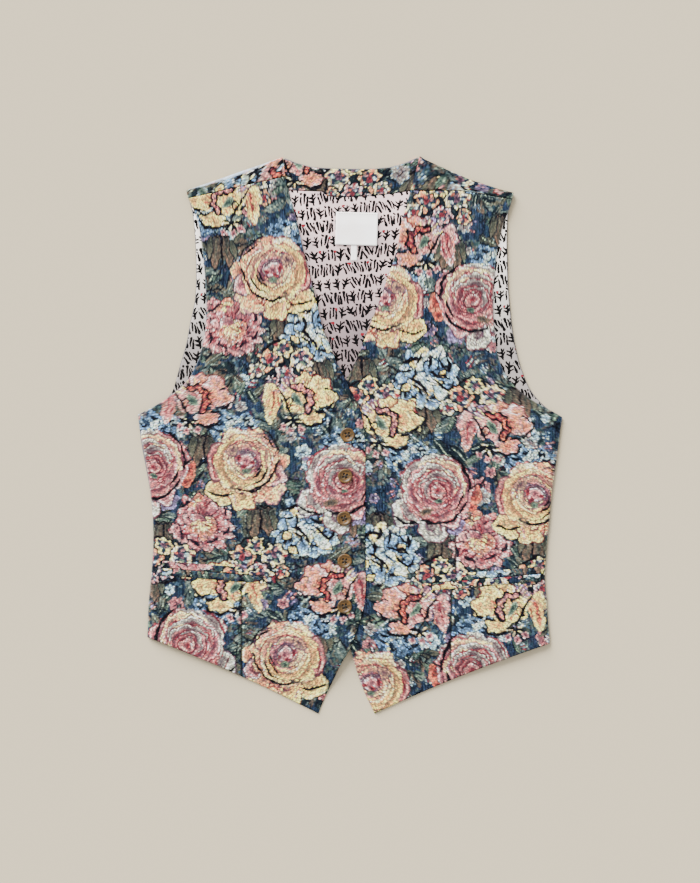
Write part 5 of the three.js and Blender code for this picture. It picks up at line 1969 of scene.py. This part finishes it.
@dataclass
class Label:
    """The plain neck label, sewn on at its top, and the loop under it."""

    turn: float = -1.7
    width: float = 43.5
    height: float = 34.0
    centre: tuple[float, float] = (6.8, 214.0)
    wall: float = 0.6
    top_under: float = 3.1
    low_under: float = 4.0
    loop_width: float = 6.2
    loop_length: float = 22.0
    loop_centre: tuple[float, float] = (4.2, 192.0)
    loop_wall: float = 0.5
    stitch_count: int = 15

    def seen(self, across: Array, up: Array) -> tuple[Array, Array]:
        """Places on the garment of places on the label, turned with it."""
        c, s = heading(self.turn)
        return self.centre[0] + across * c - up * s, self.centre[1] + across * s + up * c

    def label(self, tape: Material, sewn: list[Object]) -> Object:
        """The label itself: a thin wall that lifts off its loop.

        Args:
            tape: Its material.
            sewn: Not used.

        Returns:
            The label.
        """
        across = stops(self.width, 40)[0] - 0.5 * self.width
        up = stops(self.height, 30)[0] - 0.5 * self.height
        a, b = np.meshgrid(across, up)
        x, y = self.seen(a, b)
        shares = edge_shares(a.shape)
        down = 0.5 - b / self.height
        base = mix(self.top_under, self.low_under, smooth(down / 0.4))
        hem = 0.12 * (smooth((np.abs(a) - 0.5 * self.width + 3.4) / 0.5)
                      + smooth((np.abs(b) - 0.5 * self.height + 3.0) / 0.5))
        upper = np.stack([x, y, base + self.wall * shares + np.minimum(hem, 0.12) * (shares == 1)], axis=-1)
        lower = np.stack([x, y, base], axis=-1)
        obj = wall("blank_neck_label", upper, lower, tape).make("tape", "neck_label")
        return obj

    def loop(self, tape: Material) -> Object:
        """The loop: a narrow folded tape below the label."""
        across = stops(self.loop_width, 8)[0] - 0.5 * self.loop_width
        up = stops(self.loop_length, 22)[0] - 0.5 * self.loop_length
        a, b = np.meshgrid(across, up)
        shares = edge_shares(a.shape)
        base = np.full(a.shape, LINING_UNDER + LINING_WALL + SEAM_GAP)
        bulge = 0.08 * smooth((-8.0 - b) / 2) - 0.05 * np.exp(-(a / 0.5) ** 2)
        x, y = a + self.loop_centre[0], b + self.loop_centre[1]
        upper = np.stack([x, y, base + self.loop_wall * shares + bulge * (shares == 1)], axis=-1)
        lower = np.stack([x, y, base], axis=-1)
        return wall("tape_loop", upper, lower, tape).make("tape", "label_loop")

    def stitches(self, thread: Material) -> Object:
        """A row of small stitches along the top of the label."""
        parts = []
        for k in range(self.stitch_count):
            share = (k + np.linspace(0.12, 0.88, 7)) / self.stitch_count
            a = mix(-0.5 * self.width + 2.0, 0.5 * self.width - 2.0, share)
            x, y = self.seen(a, np.full(7, 0.5 * self.height - 1.3))
            z = self.top_under + self.wall + 0.12 + 0.14 * np.sin(np.linspace(0, math.pi, 7))
            parts.append(tube(np.stack([x, y, z], axis=1), 0.2, 6))
        return Piece("label_stitches", *joined(parts), [thread]).make("tape")


@dataclass
class Buttons:
    """Five four-hole buttons down the right front, and their thread."""

    front: Front
    places: Line = ((-2.5, 0.0), (-5.0, -42.5), (-6.0, -86.5), (-5.5, -130.5), (-5.5, -177.5))
    spread: float = 1.6
    hole: float = 1.05
    segments: int = 96

    TURNS: ClassVar[tuple[float, ...]] = (8, -14, 21, -5, 12)
    PROFILE: ClassVar[Line] = (
        # radius, height, from the middle of the top over the rim to the middle below
        (0.3, 1.42), (0.7, 1.42), (1.0, 1.42), (1.3, 1.42), (1.55, 1.42), (1.8, 1.42), (2.05, 1.43),
        (2.3, 1.44), (2.55, 1.45), (2.8, 1.46), (3.1, 1.48), (3.4, 1.50), (3.8, 1.53), (4.2, 1.56),
        (4.5, 1.62), (4.75, 1.74), (5.0, 1.92), (5.3, 2.12), (5.6, 2.28), (5.95, 2.42), (6.3, 2.5),
        (6.7, 2.48), (7.05, 2.34), (7.3, 2.1), (7.45, 1.8), (7.5, 1.4), (7.46, 1.0), (7.3, 0.7),
        (7.0, 0.42), (6.6, 0.14), (6.2, 0.0), (4.0, 0.0), (2.0, 0.0), (0.3, 0.0),
    )

    def disc(self) -> tuple[Array, Faces, Array]:
        """One button: its profile turned once round, with four pits for holes.

        The top is lowered near each hole's middle by an eased step of the
        distance from it, so the pits are round whatever the grid is.

        Returns:
            Points about the origin, faces closed by a fan at each pole, and for
            each face 1 inside a hole, which is partly thread and partly painted shade, and 0 elsewhere.
        """
        profile = np.array(self.PROFILE)
        turn = np.arange(self.segments) / self.segments * 2 * math.pi
        x = profile[:, :1] * np.cos(turn)
        y = profile[:, :1] * np.sin(turn)
        z = np.broadcast_to(profile[:, 1:], x.shape).copy()
        top = np.arange(len(profile))[:, None] < 16
        pit = np.zeros(x.shape, dtype=bool)
        for sx in (-1, 1):
            for sy in (-1, 1):
                gap = np.hypot(x - sx * self.spread, y - sy * self.spread)
                z -= np.where(top, 1.15 * smooth((self.hole + 0.25 - gap) / 0.3), 0)
                pit |= top & (gap < self.hole + 0.05)
        grain = 0.04 * np.sin(3 * turn + 1.0) * smooth(profile[:, :1] / 5)
        z += np.where(top, grain, 0)
        points = np.stack([x, y, z], axis=-1).reshape(-1, 3)
        ids = np.arange(len(points)).reshape(x.shape)
        nxt = np.roll(ids, -1, axis=1)
        quads = np.stack([ids[:-1], ids[1:], nxt[1:], nxt[:-1]], axis=-1).reshape(-1, 4)
        upper, lower = len(points), len(points) + 1
        points = np.concatenate([points, [[0, 0, 1.42], [0, 0, 0]]])
        caps = np.stack([np.full(self.segments, upper), ids[0], nxt[0]], axis=1)
        base = np.stack([np.full(self.segments, lower), nxt[-1], ids[-1]], axis=1)
        # The hole faces take the dark thread: partly the thread through the holes, partly painted shade
        inside = pit.ravel()[quads].all(axis=1)
        slots = np.concatenate([inside, np.zeros(2 * self.segments)])
        return points, faces_of(quads, caps, base), slots

    def thread(self) -> tuple[Array, Faces]:
        """Two crossing pairs of strands, each an arch from hole to hole."""
        parts = []
        t = np.linspace(0, 1, 13)
        for sign in (1, -1):
            for offset in (-0.2, 0.2):
                x = mix(-1.4, 1.4, t) + offset * 0.7
                y = sign * mix(-1.4, 1.4, t) - sign * offset * 0.7
                z = 0.6 + (1.0 + 0.12 * (sign > 0)) * np.sin(math.pi * t) ** 0.5
                parts.append(tube(np.stack([x, y, z], axis=1), 0.15, 6))
        return joined(parts)

    def build(self, horn: Material, thread_and_hole_shade: Material) -> list[Object]:
        """Set the buttons on the front, each turned a little.

        Args:
            horn: Material of the buttons.
            thread_and_hole_shade: Material of the thread, also laid in the holes, where it is partly painted
                shade.

        Returns:
            The five buttons.
        """
        made, sewn = [], []
        points, faces, slots = self.disc()
        strands, strand_faces = self.thread()
        for k, (x, y) in enumerate(self.places):
            z = float(self.front.under(np.array(x), np.array(y))) + FRONT_WALL + SEAM_GAP
            c, s = heading(self.TURNS[k])
            spin = np.array([[c, s, 0], [-s, c, 0], [0, 0, 1]])
            spot = np.array([x, y, z])
            piece = Piece(f"horn_button_{k + 1}", points @ spin + spot, faces, [horn, thread_and_hole_shade], slots)
            made.append(piece.make("button", f"button_{k + 1}"))
            sewn.append((strands @ spin + spot, strand_faces))
        Piece("button_thread", *joined(sewn), [thread_and_hole_shade]).make("tape")
        return made


@dataclass(frozen=True)
class Studio:
    """Pale floor, soft light and the camera straight above."""

    lens: float = 85.0
    frame_height: float = 0.918
    centre_y: float = -0.0068
    sensor: float = 36.0
    ambient: float = 1.5
    elevation: float = 25.0
    breadth: float = 40.0
    azimuth: float = 32.0

    def floor(self) -> None:
        """A wide pale floor just under the garment."""
        mesh = bpy.data.meshes.new("floor")
        reach, depth = 4.0, -0.0003
        corners = [(sx * reach, sy * reach, depth) for sx, sy in ((-1, -1), (1, -1), (1, 1), (-1, 1))]
        mesh.from_pydata(corners, [], [(0, 1, 2, 3)])
        mesh.materials.append(FloorFinish().build())
        obj = bpy.data.objects.new("floor", mesh)
        bpy.context.scene.collection.objects.link(obj)

    def key(self) -> None:
        """A broad, even light from the upper left, low enough to shade folds."""
        data = bpy.data.lights.new("key", "SUN")
        rise = math.radians(self.elevation)
        data.angle = math.radians(self.breadth)
        data.energy = (STUDIO_LIGHT - self.ambient) * math.pi / math.sin(rise)
        obj = bpy.data.objects.new("key", data)
        obj.location = (-0.8, 1.2, 1.5)
        obj.rotation_euler = (rise - math.pi / 2, 0.0, math.radians(self.azimuth))
        bpy.context.scene.collection.objects.link(obj)

    def build(self) -> None:
        """Set up the floor, lights and camera."""
        self.floor()
        world = bpy.data.worlds.new("studio")
        world.use_nodes = True
        world.node_tree.nodes["Background"].inputs[0].default_value = (1.0, 1.0, 1.0, 1.0)
        world.node_tree.nodes["Background"].inputs[1].default_value = self.ambient
        bpy.context.scene.world = world
        self.key()
        data = bpy.data.cameras.new("camera")
        data.lens, data.sensor_fit, data.sensor_height = self.lens, "VERTICAL", self.sensor
        camera = bpy.data.objects.new("camera", data)
        camera.location = (0.0, self.centre_y, self.lens * self.frame_height / self.sensor)
        bpy.context.scene.collection.objects.link(camera)
        bpy.context.scene.camera = camera


def main() -> None:
    """Build the garment piece by piece, then the studio, and note its size."""
    logging.basicConfig(level=logging.INFO, format="%(message)s")
    jacquard = JacquardFinish().build()
    inside = PlainFinish("inside_cloth", (150, 148, 152), (118, 116, 124), 0.9, 0.85).build()
    printed = PrintedLiningFinish().build()
    tape = PlainFinish("label_tape", (246, 244, 240), (226, 222, 218), 0.6, 0.6).build()
    horn = HornFinish().build()
    # Near-black thread for the strands and the hole faces; its darkness is partly painted shade of the holes
    thread_and_hole_shade = ThreadFinish("brown_thread_and_hole_shade", (26, 16, 10)).build()
    white = ThreadFinish("white_thread", (232, 228, 222)).build()

    Back(Outline(BACK, 9), Bouquet(REPEAT, 31, True, (208.0, 33.0), SHOULDER_ACCENTS)).build(jacquard, inside)
    Lining(Outline(LINING, 8)).build(printed)
    Facing(Bouquet(FACING_FLOWERS, 43)).build(jacquard)
    left = Front("jacquard_left_front", "left_front", Outline(LEFT_FRONT, 15), -1,
                 (Dart(109.5, 109.5, -144.0, -103.0, 5.0), Dart(104.5, 105.0, -232.0, -159.0, 5.0)),
                 Bouquet(LEFT_FLOWERS, 17), ((198.0, -144.0), (85.5, -153.5)))
    right = Front("jacquard_right_front", "right_front", Outline(RIGHT_FRONT, 13), 1,
                  (Dart(-112.5, -112.5, -262.0, -155.0, 6.0),),
                  Bouquet(RIGHT_FLOWERS, 11), ((-194.5, -138.0), (-77.0, -147.5)))
    for front, side, under in ((left, "left", "printed_lining_of_back"),
                               (right, "right", "jacquard_left_front")):
        obj = front.build(jacquard, inside)
        lips = Pocket(front, side, 50 + 7 * front.hand).build(jacquard)
    label = Label()
    label.label(tape, [label.loop(tape), label.stitches(white)])
    Buttons(right).build(horn, thread_and_hole_shade)
    Studio().build()


if __name__ == "__main__":
    main()
